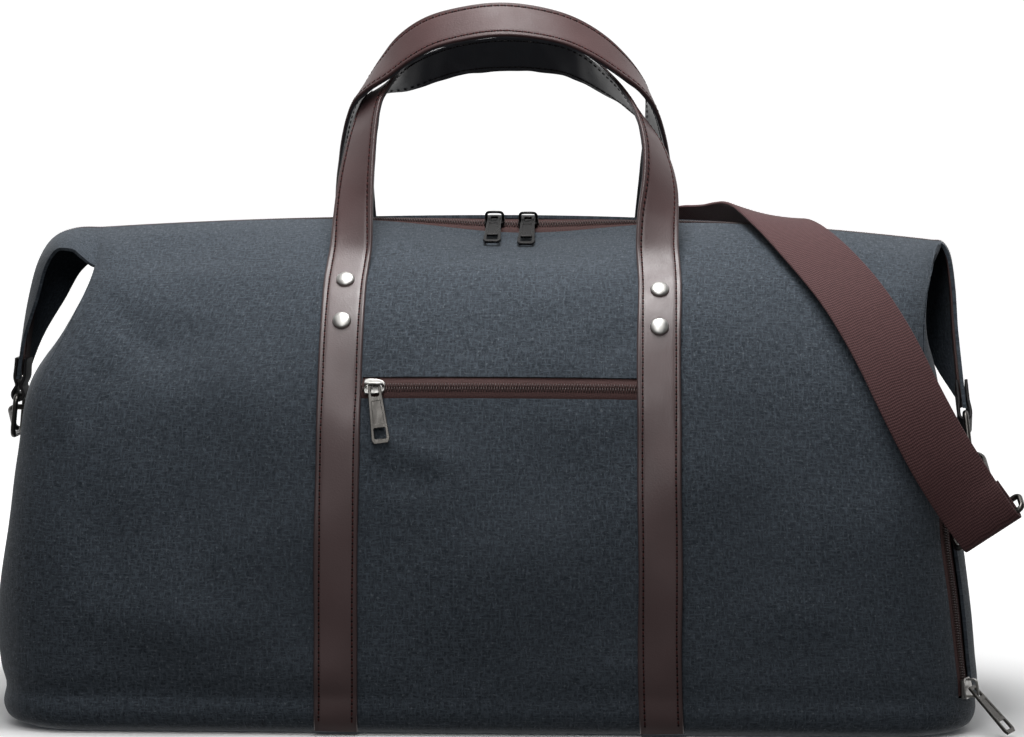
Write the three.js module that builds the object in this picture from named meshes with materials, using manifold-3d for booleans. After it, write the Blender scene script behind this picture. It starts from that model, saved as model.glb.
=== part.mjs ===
import * as THREE from "three";
import { mergeVertices } from "three/addons/utils/BufferGeometryUtils.js";
import Module from "manifold-3d";

const wasm = await Module();
wasm.setup();

// Sizes in millimetres. The bag stands on Z = 0, its front looks along -Y and its length runs along X.
const CANVAS = 2;
const GAP = 0.4;
const RIDGE_DROP = { left: 8, right: 14 };
const RIDGE_SAG = { x: 10, spread: 70, depth: 10 };
const SEAM_SHARE = 0.9985;

// Level sections of the body from the base to the edge of the top zip.
// bulge pushes the middle of the long sides out, fold draws the middle of the ends in.
const SECTIONS = [
  { z: 0, left: 278, right: 265, depth: 112, corner: 40, bulge: 0, fold: 0 },
  { z: 4, left: 286, right: 272, depth: 119.5, corner: 44, bulge: 0, fold: 0 },
  { z: 11, left: 289.5, right: 275, depth: 122.5, corner: 46, bulge: 1, fold: 0 },
  { z: 21, left: 290, right: 275, depth: 123, corner: 47, bulge: 2, fold: 0 },
  { z: 45, left: 290, right: 272, depth: 124, corner: 47, bulge: 4, fold: -2 },
  { z: 80, left: 289.5, right: 267.5, depth: 124.5, corner: 46, bulge: 6, fold: -3 },
  { z: 120, left: 286.5, right: 262, depth: 123, corner: 44, bulge: 7, fold: -3 },
  { z: 160, left: 281.5, right: 258, depth: 118, corner: 42, bulge: 7, fold: 0 },
  { z: 200, left: 276, right: 255, depth: 109, corner: 38, bulge: 6, fold: 8 },
  { z: 235, left: 259.5, right: 253, depth: 93, corner: 33, bulge: 4, fold: 19 },
  { z: 259, left: 249, right: 254, depth: 74, corner: 28, bulge: 2, fold: 27 },
  { z: 271, left: 246, right: 256, depth: 58, corner: 24, bulge: 1, fold: 30 },
  { z: 280, left: 245, right: 256, depth: 43, corner: 18, bulge: 0, fold: 30 },
  { z: 286.5, left: 244.5, right: 255, depth: 28, corner: 11, bulge: 0, fold: 30 },
  { z: 290.8, left: 244, right: 254, depth: 15, corner: 6, bulge: 0, fold: 30 },
  { z: 293, left: 244, right: 254, depth: 6.9, corner: 2.6, bulge: 0, fold: 30 },
];
const SEAM_LEVEL = 3;
const CROTCH_LEVEL = 11;
const TOP_LEVEL = SECTIONS.length - 1;

// Soft hollows of the front canvas.
const DENTS = [
  { x: -236, z: 44, spreadX: 46, spreadZ: 16, depth: 3 },
  { x: -205, z: 232, spreadX: 40, spreadZ: 26, depth: 5 },
  { x: 4, z: 280, spreadX: 58, spreadZ: 17, depth: 8 },
  { x: 165, z: 176, spreadX: 30, spreadZ: 52, depth: 4 },
];

// Where the end panels turn in under the roof, above the section where the wings part.
const TUCK = [
  { up: 7, inward: 6, narrow: 0.72 },
  { up: 11.5, inward: 12, narrow: 0.5 },
];

// The wings: the two ends of the roof, folded down outside the ends of the bag.
// out, lean and down place the ridge line, spread and drop shrink the flaps beside it.
const WINGS = {
  left: [
    { out: 0, lean: 0, down: 0, spread: 1, drop: 1, backSpread: 1, backDrop: 1 },
    { out: 15, lean: 0, down: 0.5, spread: 0.82, drop: 0.58, backSpread: 0.86, backDrop: 1.05 },
    { out: 28, lean: 0, down: 6, spread: 0.64, drop: 0.44, backSpread: 0.7, backDrop: 1.15 },
    { out: 37, lean: 0, down: 20, spread: 0.5, drop: 0.38, backSpread: 0.55, backDrop: 1 },
    { out: 43, lean: 0, down: 42, spread: 0.38, drop: 0.33, backSpread: 0.4, backDrop: 0.76 },
    { out: 47, lean: 0, down: 66, spread: 0.25, drop: 0.12, backSpread: 0.25, backDrop: 0.33 },
    { out: 49.5, lean: 0, down: 90, spread: 0.14, drop: 0, backSpread: 0.14, backDrop: 0 },
  ],
  right: [
    { out: 0, lean: 0, down: 0, spread: 1, drop: 1, backSpread: 1, backDrop: 1 },
    { out: 5.5, lean: -1, down: 1, spread: 0.3, drop: 0.16, backSpread: 0.9, backDrop: 0.92 },
    { out: 10, lean: -3, down: 9, spread: 0.15, drop: 0.06, backSpread: 0.76, backDrop: 0.8 },
    { out: 12.5, lean: -9, down: 28, spread: 0.1, drop: 0.03, backSpread: 0.62, backDrop: 0.88 },
    { out: 13.5, lean: -18, down: 50, spread: 0.1, drop: 0.01, backSpread: 0.46, backDrop: 0.85 },
    { out: 15, lean: -29, down: 72, spread: 0.16, drop: 0, backSpread: 0.28, backDrop: 0.6 },
    { out: 17, lean: -42, down: 95, spread: 0.14, drop: 0, backSpread: 0.14, backDrop: 0 },
  ],
};
const WING_COLUMNS = 8;
const WING_SLACK = 2.2;

// How finely the walls are divided.
const PANEL_ACROSS = spaced(16, 0.865, [0.91, 0.955, 1]);
const END_ACROSS = spaced(4, 0.675, [0.78, 0.89, 1]);
const BASE_ACROSS = spaced(6, 0.865, [0.932, 1]);
const BASE_END_ACROSS = spaced(3, 0.675, [0.84, 1]);

// Zips.
const ZIP = { width: 11.4, tape: 1, coilWidth: 5.2, coilHeight: 1.4, recess: 0.8, slot: 13 };
const POCKET = { level: 7.97, from: -76.6, to: 80.2 };
const END_ZIP = [
  { across: -0.9, level: 3.1 },
  { across: -0.9, level: 4 },
  { across: -0.9, level: 5 },
  { across: -0.9, level: 6 },
  { across: -0.84, level: 6.8 },
  { across: -0.66, level: 7.5 },
  { across: -0.36, level: 7.9 },
  { across: 0, level: 8 },
];

// Sliders and pulls.
const SLIDER = { length: 12, width: 9.2, channel: 6.4, low: 0.4, roof: 1.8, top: 3.4 };
const BRIDGE = { span: 5, top: 8.5, wire: 0.9 };
const PULL = { length: 34, thick: 1.6, head: 3.5, foot: 5.3, barHalf: 1 };
const PULL_EYE = { half: 2.2, end: 6.8 };
const PULL_WINDOW = { half: 3.4, from: 25, to: 31.4 };
const PULL_PIVOT = 5.7;
const TOP_PULLS = { left: -7, right: 13, dip: -10 };
const POCKET_PULL = { x: -69, dip: 6, tilt: 8 };
const END_PULL = { level: 3.3, lift: 40 };

// Handles: straps sewn up each long side, then standing free as a twisting arch, given from left to right.
// x, y, z place the middle of the strap, with y away from the ridge on the handle's own side,
// and twist turns its outer face from the side of the bag outwards.
const HANDLE = { width: 25, thick: 3 };
const LEG = { footLevel: 0.95, leaveLevel: 10.2, footX: 93.3, leaveX: 90.5, frontShift: 1.8, backShift: -4 };
const FRONT_ARCH = [
  { x: -86.7, y: 60, z: 275, twist: 6 },
  { x: -86.7, y: 51, z: 293, twist: 18 },
  { x: -86, y: 41, z: 312, twist: 30 },
  { x: -84.2, y: 29, z: 331, twist: 42 },
  { x: -81.5, y: 16, z: 349.5, twist: 55 },
  { x: -76, y: 3.4, z: 364.8, twist: 73 },
  { x: -60, y: -6, z: 374, twist: 124 },
  { x: -32.2, y: -12, z: 385.2, twist: 139 },
  { x: 1.8, y: -14, z: 388.8, twist: 145 },
  { x: 35, y: -12, z: 384.6, twist: 137 },
  { x: 58, y: -6, z: 371, twist: 117 },
  { x: 74, y: 3, z: 357, twist: 98 },
  { x: 84, y: 16, z: 342, twist: 78 },
  { x: 89, y: 29, z: 327, twist: 57 },
  { x: 90.8, y: 41, z: 310, twist: 36 },
  { x: 90.3, y: 51, z: 293, twist: 18 },
  { x: 90.3, y: 60, z: 275, twist: 6 },
];
const BACK_ARCH = [
  { x: -94, y: 60, z: 275, twist: 6 },
  { x: -94, y: 50, z: 292, twist: 18 },
  { x: -93.5, y: 39, z: 310, twist: 33 },
  { x: -92.5, y: 27, z: 328, twist: 50 },
  { x: -91, y: 15, z: 346, twist: 68 },
  { x: -85.5, y: 2, z: 365, twist: 91 },
  { x: -69, y: -12, z: 381.5, twist: 122 },
  { x: -44.7, y: -20, z: 399.4, twist: 140 },
  { x: -3, y: -23, z: 408, twist: 142 },
  { x: 38.3, y: -20, z: 400.5, twist: 132 },
  { x: 66.5, y: -12, z: 382.5, twist: 116 },
  { x: 82.5, y: 2, z: 364.5, twist: 92 },
  { x: 87, y: 15, z: 346, twist: 68 },
  { x: 87.5, y: 27, z: 328, twist: 50 },
  { x: 87.5, y: 39, z: 310, twist: 33 },
  { x: 86.8, y: 50, z: 292, twist: 18 },
  { x: 86, y: 60, z: 275, twist: 6 },
];

// Rivets through the handle legs.
const RIVET = { radius: 5.4, rim: 0.9, height: 2.6, sides: 12 };
const RIVET_LEVELS = { left: { upper: 9.87, lower: 8.98 }, right: { upper: 9.66, lower: 8.91 } };

// Tabs, rings and snap hooks at the wing tips. reach runs from the wing tip to the ring's upper bar.
const TAB = { width: 22, thick: 1.8, loop: 2.4, lap: 12, reach: 10, clear: 0.8, pinch: 4 };
const RING = { halfWidth: 16, halfHeight: 12, corner: 5, wire: 1.6 };
const HOOK = { eyeHalf: 22.5, eyeDepth: 12, wire: 1.7, neck: 3.2, loopHalf: 8, loopLength: 34 };

// The two folded ends of the shoulder strap. x, y, z place the bar of the hook's eye, bar points along it,
// away leads from it into the strap, past is the hook's reach beyond the ring and
// hold tells where the hook holds the ring, in shares of its half width and half height.
const STRAP_ENDS = {
  right: { x: 280, y: -117, z: 120, bar: [0.79, -0.18, 0.58], away: [-0.59, 0, 0.8], past: 4.2, hold: [0, 1] },
  left: { x: -297, y: 72, z: 141, bar: [0, 0.37, 0.93], away: [0, 0.93, -0.37], past: 6, hold: [1, 0] },
};

// The shoulder strap from its right end over the ridge and behind the bag to its left end.
// x, y, z place the middle of its inner face; fx, fy, fz point the way its outer face looks.
const STRAP = { width: 38, thick: 1.8, loop: 2.7, lap: 20 };
const STRAP_ROUTE = [
  { x: 264.5, y: -120, z: 141, fx: -0.02, fy: -1, fz: 0 },
  { x: 250, y: -120, z: 164, fx: 0.1, fy: -0.97, fz: 0.16 },
  { x: 235, y: -116, z: 192, fx: 0.12, fy: -0.93, fz: 0.32 },
  { x: 220, y: -105, z: 222, fx: 0.06, fy: -0.85, fz: 0.5 },
  { x: 202, y: -86, z: 250.5, fx: 0.02, fy: -0.72, fz: 0.7 },
  { x: 180, y: -55, z: 275, fx: 0, fy: -0.52, fz: 0.86 },
  { x: 162, y: -20, z: 289.5, fx: 0.12, fy: -0.3, fz: 0.94 },
  { x: 146, y: 14, z: 292.8, fx: 0.3, fy: 0.2, fz: 0.93 },
  { x: 127, y: 46, z: 287.5, fx: 0.17, fy: 0.6, fz: 0.78 },
  { x: 105, y: 70, z: 282, fx: 0.04, fy: 0.8, fz: 0.6 },
  { x: 81, y: 88, z: 269.5, fx: 0, fy: 0.84, fz: 0.54 },
  { x: 62, y: 105, z: 245, fx: 0, fy: 0.86, fz: 0.51 },
  { x: 46, y: 121, z: 206, fx: 0, fy: 0.92, fz: 0.39 },
  { x: 26, y: 131.5, z: 167, fx: 0, fy: 0.98, fz: 0.2 },
  { x: -8, y: 136.5, z: 132, fx: 0, fy: 1, fz: 0.05 },
  { x: -60, y: 138.5, z: 110, fx: 0, fy: 1, fz: 0 },
  { x: -118, y: 138, z: 97, fx: 0, fy: 1, fz: 0 },
  { x: -192, y: 134, z: 92, fx: -0.06, fy: 1, fz: 0 },
  { x: -244, y: 129, z: 102, fx: -0.4, fy: 0.92, fz: 0 },
  { x: -278, y: 118.5, z: 115.5, fx: -0.78, fy: 0.62, fz: 0 },
  { x: -294, y: 106, z: 125, fx: -0.94, fy: 0.34, fz: 0 },
  { x: -298.8, y: 94, z: 131, fx: -0.99, fy: 0.1, fz: 0 },
];

const COLOUR = {
  canvas: 0x4a5059,
  leather: 0x5c4a48,
  dark: 0x1d1a1b,
  webbing: 0x4a2f2e,
  zip: 0x4c3533,
  nickel: 0xd8d6d2,
  gunmetal: 0x55534f,
};

function spaced(count, edge, tail) {
  const inner = Array.from({ length: count + 1 }, (_, i) => edge * ((2 * i) / count - 1));
  return [...tail.map((v) => -v).reverse(), ...inner, ...tail];
}

// Smooth value of one column of a table at a place between its rows.
function column(rows, key, place) {
  const last = rows.length - 1;
  const i = Math.max(0, Math.min(Math.floor(place), last - 1));
  const f = place - i;
  const at = (k) => rows[Math.min(Math.max(k, 0), last)][key];
  const [p, a, b, n] = [at(i - 1), at(i), at(i + 1), at(i + 2)];
  return a + 0.5 * f * (b - p + f * (2 * p - 5 * a + 4 * b - n + f * (3 * (a - b) + n - p)));
}

function rowAt(rows, place) {
  return Object.fromEntries(Object.keys(rows[0]).map((key) => [key, column(rows, key, place)]));
}

function vec(row) {
  return new THREE.Vector3(row.x, row.y, row.z);
}

function dent(x, z) {
  return DENTS.reduce((sum, d) => {
    const u = (x - d.x) / d.spreadX;
    const v = (z - d.z) / d.spreadZ;
    return sum + d.depth * Math.exp(-u * u - v * v);
  }, 0);
}

// The roof falls a little towards both ends.
function lowered(point) {
  const share = Math.abs(point.x) / 250;
  const drop = point.x < 0 ? RIDGE_DROP.left : RIDGE_DROP.right;
  point.z -= drop * share * share * (point.z / 293) ** 2;
  return point;
}

// Outer face of a long side: across runs from -1 at the left seam to 1 at the right seam.
function sidePoint(face, across, level) {
  const s = rowAt(SECTIONS, level);
  const half = across < 0 ? s.left : s.right;
  const straight = half - s.corner;
  const along = Math.abs(across) * (straight + (s.corner * Math.PI) / 4);
  const turn = Math.max(0, along - straight) / s.corner;
  const x = Math.sign(across) * (Math.min(along, straight) + s.corner * Math.sin(turn));
  const ease = (1 - across * across) ** 2;
  const edge = 1 - THREE.MathUtils.smoothstep(level, TOP_LEVEL - 2, TOP_LEVEL);
  const hollow = face < 0 ? dent(x, s.z) * Math.min(1, 4 * ease) * edge : 0;
  const depth = s.depth - s.corner + s.corner * Math.cos(turn) + s.bulge * ease - hollow;
  const point = lowered(new THREE.Vector3(x, face * depth, s.z));
  if (face < 0) {
    const rise = THREE.MathUtils.smoothstep(level, 10, 14);
    point.z -= rise * RIDGE_SAG.depth * Math.exp(-(((x - RIDGE_SAG.x) / RIDGE_SAG.spread) ** 2));
  }
  return point;
}

// Outer face of an end: across runs from -1 at the front seam to 1 at the back seam.
function endPoint(side, across, level) {
  const s = rowAt(SECTIONS, level);
  const half = side < 0 ? s.left : s.right;
  const straight = s.depth - s.corner;
  const along = Math.abs(across) * (straight + (s.corner * Math.PI) / 4);
  const turn = Math.max(0, along - straight) / s.corner;
  const y = Math.sign(across) * (Math.min(along, straight) + s.corner * Math.sin(turn));
  const ease = (1 - across * across) ** 2;
  const sharp = (1 - across ** 6) ** 2;
  const inward = ease + (sharp - ease) * THREE.MathUtils.smoothstep(level, 8, 10);
  const x = half - s.corner + s.corner * Math.cos(turn) - s.fold * inward;
  return lowered(new THREE.Vector3(side * x, y, s.z));
}

function normalOf(pointAt, u, v, step = 0.01) {
  const du = pointAt(u + step, v).sub(pointAt(u - step, v));
  const dv = pointAt(u, v + step).sub(pointAt(u, v - step));
  return du.cross(dv).normalize();
}

// The ridge line of a wing: share 0 where the wing parts from the end, share 1 at its tip.
function wingFrame(side, share) {
  const rows = side < 0 ? WINGS.left : WINGS.right;
  const place = share * (rows.length - 1);
  const row = rowAt(rows, place);
  const before = rowAt(rows, Math.max(0, place - 0.05));
  const after = rowAt(rows, Math.min(rows.length - 1, place + 0.05));
  const fall = Math.atan2(after.down - before.down, after.out - before.out);
  const root = sidePoint(-1, side * SEAM_SHARE, TOP_LEVEL);
  return {
    ...row,
    root,
    at: new THREE.Vector3(root.x + side * row.out, row.lean, root.z - row.down),
    along: new THREE.Vector3(side * Math.cos(fall), 0, -Math.sin(fall)),
    up: new THREE.Vector3(side * Math.sin(fall), 0, Math.cos(fall)),
  };
}

function wingPoint(face, side, share, level) {
  const frame = wingFrame(side, share);
  const edge = sidePoint(face, side * SEAM_SHARE, level);
  const slit = SECTIONS[TOP_LEVEL].depth + WING_SLACK * share;
  const forward = (edge.x - frame.root.x) * side * (1 - share);
  const spread = face < 0 ? frame.spread : frame.backSpread;
  const drop = face < 0 ? frame.drop : frame.backDrop;
  const beside = slit + (Math.abs(edge.y) - SECTIONS[TOP_LEVEL].depth) * spread;
  const point = frame.at.clone();
  point.addScaledVector(frame.along, forward);
  point.addScaledVector(frame.up, (edge.z - frame.root.z) * drop);
  point.y = frame.lean + face * beside;
  return point;
}

function geometryFrom(points, triangles) {
  const geometry = new THREE.BufferGeometry();
  geometry.setAttribute("position", new THREE.Float32BufferAttribute(points.flatMap((p) => p.toArray()), 3));
  geometry.setIndex(triangles.flat());
  return geometry;
}

// A closed wall from a sheet of four-sided cells: the outer face, the inner face and the rim.
function wall(points, cells, thickness) {
  const normals = points.map(() => new THREE.Vector3());
  for (const [a, b, c, d] of cells) {
    const n = points[c].clone().sub(points[a]).cross(points[d].clone().sub(points[b])).normalize();
    [a, b, c, d].forEach((k) => normals[k].add(n));
  }
  const count = points.length;
  const inner = points.map((p, i) => p.clone().addScaledVector(normals[i].normalize(), -thickness));
  const edges = new Map();
  const triangles = [];
  for (const [a, b, c, d] of cells) {
    triangles.push([a, b, c], [a, c, d]);
    triangles.push([a + count, c + count, b + count], [a + count, d + count, c + count]);
    [[a, b], [b, c], [c, d], [d, a]].forEach(([p, q]) => edges.set(`${p} ${q}`, [p, q]));
  }
  for (const [p, q] of edges.values()) {
    if (!edges.has(`${q} ${p}`)) {
      triangles.push([q, p, p + count], [q, p + count, q + count]);
    }
  }
  return geometryFrom([...points, ...inner], triangles);
}

// A closed strap: a flat section carried through stations that hold a place and the way the face looks.
function strap(stations, section) {
  const outline = section.map(([side, out]) => new THREE.Vector2(side, out));
  const caps = THREE.ShapeUtils.triangulateShape(outline, []);
  const count = outline.length;
  const last = stations.length - 1;
  const points = stations.flatMap((station, i) => {
    const ahead = stations[Math.min(i + 1, last)].at;
    const behind = stations[Math.max(i - 1, 0)].at;
    const along = station.along ?? ahead.clone().sub(behind).normalize();
    const side = station.face.clone().cross(along).normalize();
    const face = along.clone().cross(side);
    const place = ({ x, y }) => station.at.clone().addScaledVector(side, x).addScaledVector(face, y);
    return outline.map(place);
  });
  const triangles = [];
  for (let i = 0; i < last; i += 1) {
    for (let k = 0; k < count; k += 1) {
      const a = i * count + k;
      const b = i * count + ((k + 1) % count);
      triangles.push([a, b, b + count], [a, b + count, a + count]);
    }
  }
  caps.forEach(([a, b, c]) => {
    const end = last * count;
    triangles.push([c, b, a], [a + end, b + end, c + end]);
  });
  return geometryFrom(points, triangles);
}

function bandSection(width, thick) {
  const w = width / 2;
  return [[-w, 0], [w, 0], [w, thick], [-w, thick]];
}

function zipSection() {
  const w = ZIP.width / 2;
  const c = ZIP.coilWidth / 2;
  const h = ZIP.coilHeight;
  return [[-w, -ZIP.tape], [w, -ZIP.tape], [w, 0], [c, 0], [c - 0.6, h], [0.6 - c, h], [-c, 0], [-w, 0]];
}

function slotSection() {
  const w = ZIP.slot / 2;
  return [[-w, -7], [w, -7], [w, 7], [-w, 7]];
}

// A station on a wall: its place on the outer face, moved out by rise.
function stationOn(pointAt, u, v, rise) {
  const face = normalOf(pointAt, u, v);
  return { at: pointAt(u, v).addScaledVector(face, rise), face };
}

function shifted(stations, distance) {
  return stations.map((s) => ({ ...s, at: s.at.clone().addScaledVector(s.face, distance) }));
}

function solidOf(geometry) {
  const bare = new THREE.BufferGeometry();
  bare.setAttribute("position", geometry.getAttribute("position"));
  bare.setIndex(geometry.getIndex());
  const merged = mergeVertices(bare, 1e-4);
  const mesh = new wasm.Mesh({
    numProp: 3,
    vertProperties: new Float32Array(merged.getAttribute("position").array),
    triVerts: new Uint32Array(merged.getIndex().array),
  });
  return new wasm.Manifold(mesh);
}

function geometryOf(solid) {
  const mesh = solid.getMesh();
  const geometry = new THREE.BufferGeometry();
  geometry.setAttribute("position", new THREE.BufferAttribute(new Float32Array(mesh.vertProperties), 3));
  geometry.setIndex(new THREE.BufferAttribute(new Uint32Array(mesh.triVerts), 1));
  return geometry;
}

const bag = new THREE.Group();
bag.name = "travel_bag";

function add(name, geometry, colour, metal = false) {
  const material = new THREE.MeshStandardMaterial({
    color: COLOUR[colour],
    roughness: metal ? 0.3 : 0.8,
    metalness: metal ? 1 : 0,
  });
  const mesh = new THREE.Mesh(geometry, material);
  mesh.name = name;
  bag.add(mesh);
}

// A long side with its half of the roof and of both wings.
function sidePanel(face) {
  const levels = SECTIONS.map((_, i) => i).filter((i) => i >= SEAM_LEVEL);
  const body = PANEL_ACROSS.length - 1;
  const columns = body + 2 * WING_COLUMNS;
  const points = [];
  const index = new Map();
  const place = (i, level) => {
    if (i < WING_COLUMNS) {
      return wingPoint(face, -1, (WING_COLUMNS - i) / WING_COLUMNS, level);
    }
    if (i > WING_COLUMNS + body) {
      return wingPoint(face, 1, (i - WING_COLUMNS - body) / WING_COLUMNS, level);
    }
    const lift = level === SEAM_LEVEL ? 0.02 : 0;
    return sidePoint(face, PANEL_ACROSS[i - WING_COLUMNS] * SEAM_SHARE, level + lift);
  };
  for (let i = 0; i <= columns; i += 1) {
    const onWing = i < WING_COLUMNS || i > WING_COLUMNS + body;
    for (const level of levels.filter((l) => !onWing || l >= CROTCH_LEVEL)) {
      index.set(`${i} ${level}`, points.length);
      points.push(place(i, level));
    }
  }
  const cells = [];
  for (let i = 0; i < columns; i += 1) {
    for (const level of levels) {
      const keys = [[i, level], [i + 1, level], [i + 1, level + 1], [i, level + 1]];
      const cell = keys.map(([c, l]) => index.get(`${c} ${l}`));
      if (cell.every((k) => k !== undefined)) {
        cells.push(face < 0 ? cell : cell.reverse());
      }
    }
  }
  return wall(points, cells, CANVAS);
}

function endPanel(side) {
  const levels = SECTIONS.map((_, i) => i).filter((i) => i >= SEAM_LEVEL && i <= CROTCH_LEVEL);
  const rows = levels.map((level) => {
    const lift = level === SEAM_LEVEL ? 0.02 : 0;
    const reach = 0.9955 - 0.00017 * Math.max(0, SECTIONS[level].fold) ** 2;
    return END_ACROSS.map((a) => endPoint(side, a * reach, level + lift));
  });
  const edge = rows[rows.length - 1];
  TUCK.forEach(({ up, inward, narrow }) => {
    rows.push(edge.map((p) => new THREE.Vector3(p.x - side * inward, p.y * narrow, p.z + up)));
  });
  const points = rows.flat();
  const count = END_ACROSS.length;
  const cells = [];
  for (let r = 0; r < rows.length - 1; r += 1) {
    for (let i = 0; i < count - 1; i += 1) {
      const a = r * count + i;
      const cell = [a, a + 1, a + 1 + count, a + count];
      cells.push(side > 0 ? cell : cell.reverse());
    }
  }
  return wall(points, cells, CANVAS);
}

// The base: a flat floor whose rim is turned up to the low seam.
function basePanel() {
  const nx = BASE_ACROSS.length - 1;
  const ny = BASE_END_ACROSS.length - 1;
  const front = BASE_ACROSS.map((a) => sidePoint(-1, a, 0));
  const back = BASE_ACROSS.map((a) => sidePoint(1, a, 0));
  const left = BASE_END_ACROSS.map((a) => endPoint(-1, a, 0));
  const right = BASE_END_ACROSS.map((a) => endPoint(1, a, 0));
  const points = [];
  for (let j = 0; j <= ny; j += 1) {
    for (let i = 0; i <= nx; i += 1) {
      const u = (BASE_ACROSS[i] + 1) / 2;
      const v = (BASE_END_ACROSS[j] + 1) / 2;
      const across = left[j].clone().lerp(right[j], u);
      const over = front[i].clone().lerp(back[i], v);
      const low = front[0].clone().lerp(front[nx], u);
      const high = back[0].clone().lerp(back[nx], u);
      points.push(across.add(over).sub(low.lerp(high, v)));
    }
  }
  const at = (i, j) => j * (nx + 1) + i;
  const cells = [];
  for (let j = 0; j < ny; j += 1) {
    for (let i = 0; i < nx; i += 1) {
      cells.push([at(i, j), at(i, j + 1), at(i + 1, j + 1), at(i + 1, j)]);
    }
  }
  const side = (i, j, face) => ({ floor: at(i, j), rise: (l) => sidePoint(face, BASE_ACROSS[i], l) });
  const end = (i, j, way) => ({ floor: at(i, j), rise: (l) => endPoint(way, BASE_END_ACROSS[j], l) });
  const ring = [
    ...Array.from({ length: nx }, (_, i) => side(i, 0, -1)),
    ...Array.from({ length: ny }, (_, j) => end(nx, j, 1)),
    ...Array.from({ length: nx }, (_, i) => side(nx - i, ny, 1)),
    ...Array.from({ length: ny }, (_, j) => end(0, ny - j, -1)),
  ];
  let below = ring.map((r) => r.floor);
  for (let level = 1; level <= SEAM_LEVEL; level += 1) {
    const above = ring.map((r) => points.push(r.rise(level === SEAM_LEVEL ? level - 0.02 : level)) - 1);
    ring.forEach((_, k) => {
      const next = (k + 1) % ring.length;
      cells.push([below[k], below[next], above[next], above[k]]);
    });
    below = above;
  }
  return wall(points, cells, CANVAS);
}

function zipOn(stations) {
  return strap(shifted(stations, -ZIP.recess), zipSection());
}

// A station on a long side at a distance x from the middle.
function acrossAt(x, level) {
  const side = x < 0 ? -1 : 1;
  return x / Math.abs(2 * sidePoint(-1, side * 0.5, level).x);
}
function onSide(face, x, level, rise) {
  const pointAt = (u, v) => sidePoint(face, -face * u, v);
  return stationOn(pointAt, -face * acrossAt(x, level), level, rise);
}

// Pocket slit in the front.
function pocketStations(margin) {
  const count = 12;
  const from = POCKET.from + margin;
  const to = POCKET.to - margin;
  const places = Array.from({ length: count + 1 }, (_, i) => THREE.MathUtils.lerp(from, to, i / count));
  return places.map((x) => onSide(-1, x, POCKET.level, 0));
}
const pocketCut = solidOf(strap(pocketStations(0), slotSection()));
add("front_panel", geometryOf(solidOf(sidePanel(-1)).subtract(pocketCut)), "canvas");
add("back_panel", sidePanel(1), "canvas");
add("base_panel", basePanel(), "canvas");
add("left_end_panel", endPanel(-1), "canvas");
add("pocket_zip", zipOn(pocketStations(0.4)), "zip");

// The arched zip parts the right end into a surround and a door.
const rightAt = (u, v) => endPoint(1, u, v);
function endZipStations(first) {
  const rows = [...END_ZIP, ...END_ZIP.slice(0, -1).reverse().map((r) => ({ ...r, across: -r.across }))];
  const steps = 36;
  const places = Array.from({ length: steps + 1 }, (_, i) => (i * (rows.length - 1)) / steps);
  const path = places.map((p) => rowAt(rows, p));
  const ends = [path[0], path[path.length - 1]].map((r) => ({ ...r, level: first }));
  const line = first < END_ZIP[0].level ? [ends[0], ...path, ends[1]] : path;
  return line.map((r) => stationOn(rightAt, r.across, r.level, 0));
}
const endCut = solidOf(strap(endZipStations(2.8), slotSection()));
const endPieces = solidOf(endPanel(1)).subtract(endCut).decompose();
endPieces.sort((a, b) => b.boundingBox().max[2] - a.boundingBox().max[2]);
add("right_end_panel", geometryOf(endPieces[0]), "canvas");
add("right_end_door", geometryOf(endPieces[1]), "canvas");
add("end_zip", zipOn(endZipStations(END_ZIP[0].level)), "zip");

// Top zip: over the ridge and down both wings, ending above the tabs.
function ridgeStation(across) {
  const front = sidePoint(-1, across, TOP_LEVEL);
  const back = sidePoint(1, across, TOP_LEVEL);
  const face = new THREE.Vector3(0, front.z - back.z, back.y - front.y).normalize();
  return { at: front.add(back).multiplyScalar(0.5), face };
}
function topZipStations() {
  const wingShares = [0.82, 0.75, 0.625, 0.5, 0.375, 0.25, 0.125];
  const wing = (side) => wingShares.map((share) => {
    const frame = wingFrame(side, share);
    return { at: frame.at, face: frame.up };
  });
  const ridge = PANEL_ACROSS.map((u) => ridgeStation(u * SEAM_SHARE));
  return [...wing(-1), ...ridge, ...wing(1).reverse()];
}
add("top_zip", zipOn(topZipStations()), "zip");

// Sliders: a channel over the coil and an arched bridge, laid out along X with the outside at +Z.
function sliderGeometry() {
  const { width, channel, low, roof, top, length } = SLIDER;
  const shape = new THREE.Shape();
  shape.moveTo(-width / 2, low);
  shape.lineTo(-channel / 2, low);
  shape.lineTo(-channel / 2, roof);
  shape.lineTo(channel / 2, roof);
  shape.lineTo(channel / 2, low);
  shape.lineTo(width / 2, low);
  shape.lineTo(width / 2, top - 1.2);
  shape.lineTo(width / 2 - 1.8, top);
  shape.lineTo(1.8 - width / 2, top);
  shape.lineTo(-width / 2, top - 1.2);
  shape.closePath();
  const channelBody = new THREE.ExtrudeGeometry(shape, { depth: length, bevelEnabled: false });
  channelBody.translate(0, 0, -length / 2);
  channelBody.applyMatrix4(new THREE.Matrix4().makeBasis(
    new THREE.Vector3(0, 1, 0), new THREE.Vector3(0, 0, 1), new THREE.Vector3(1, 0, 0)));
  const { span, wire } = BRIDGE;
  const arch = new THREE.CatmullRomCurve3([
    new THREE.Vector3(-span, 0, top - 0.8),
    new THREE.Vector3(-span, 0, BRIDGE.top - 2.2),
    new THREE.Vector3(-span * 0.6, 0, BRIDGE.top - 0.2),
    new THREE.Vector3(span * 0.6, 0, BRIDGE.top - 0.2),
    new THREE.Vector3(span, 0, BRIDGE.top - 2.2),
    new THREE.Vector3(span, 0, top - 0.8),
  ]);
  return geometryOf(solidOf(channelBody).add(solidOf(tube(arch, wire, 12, 6))));
}

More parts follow.
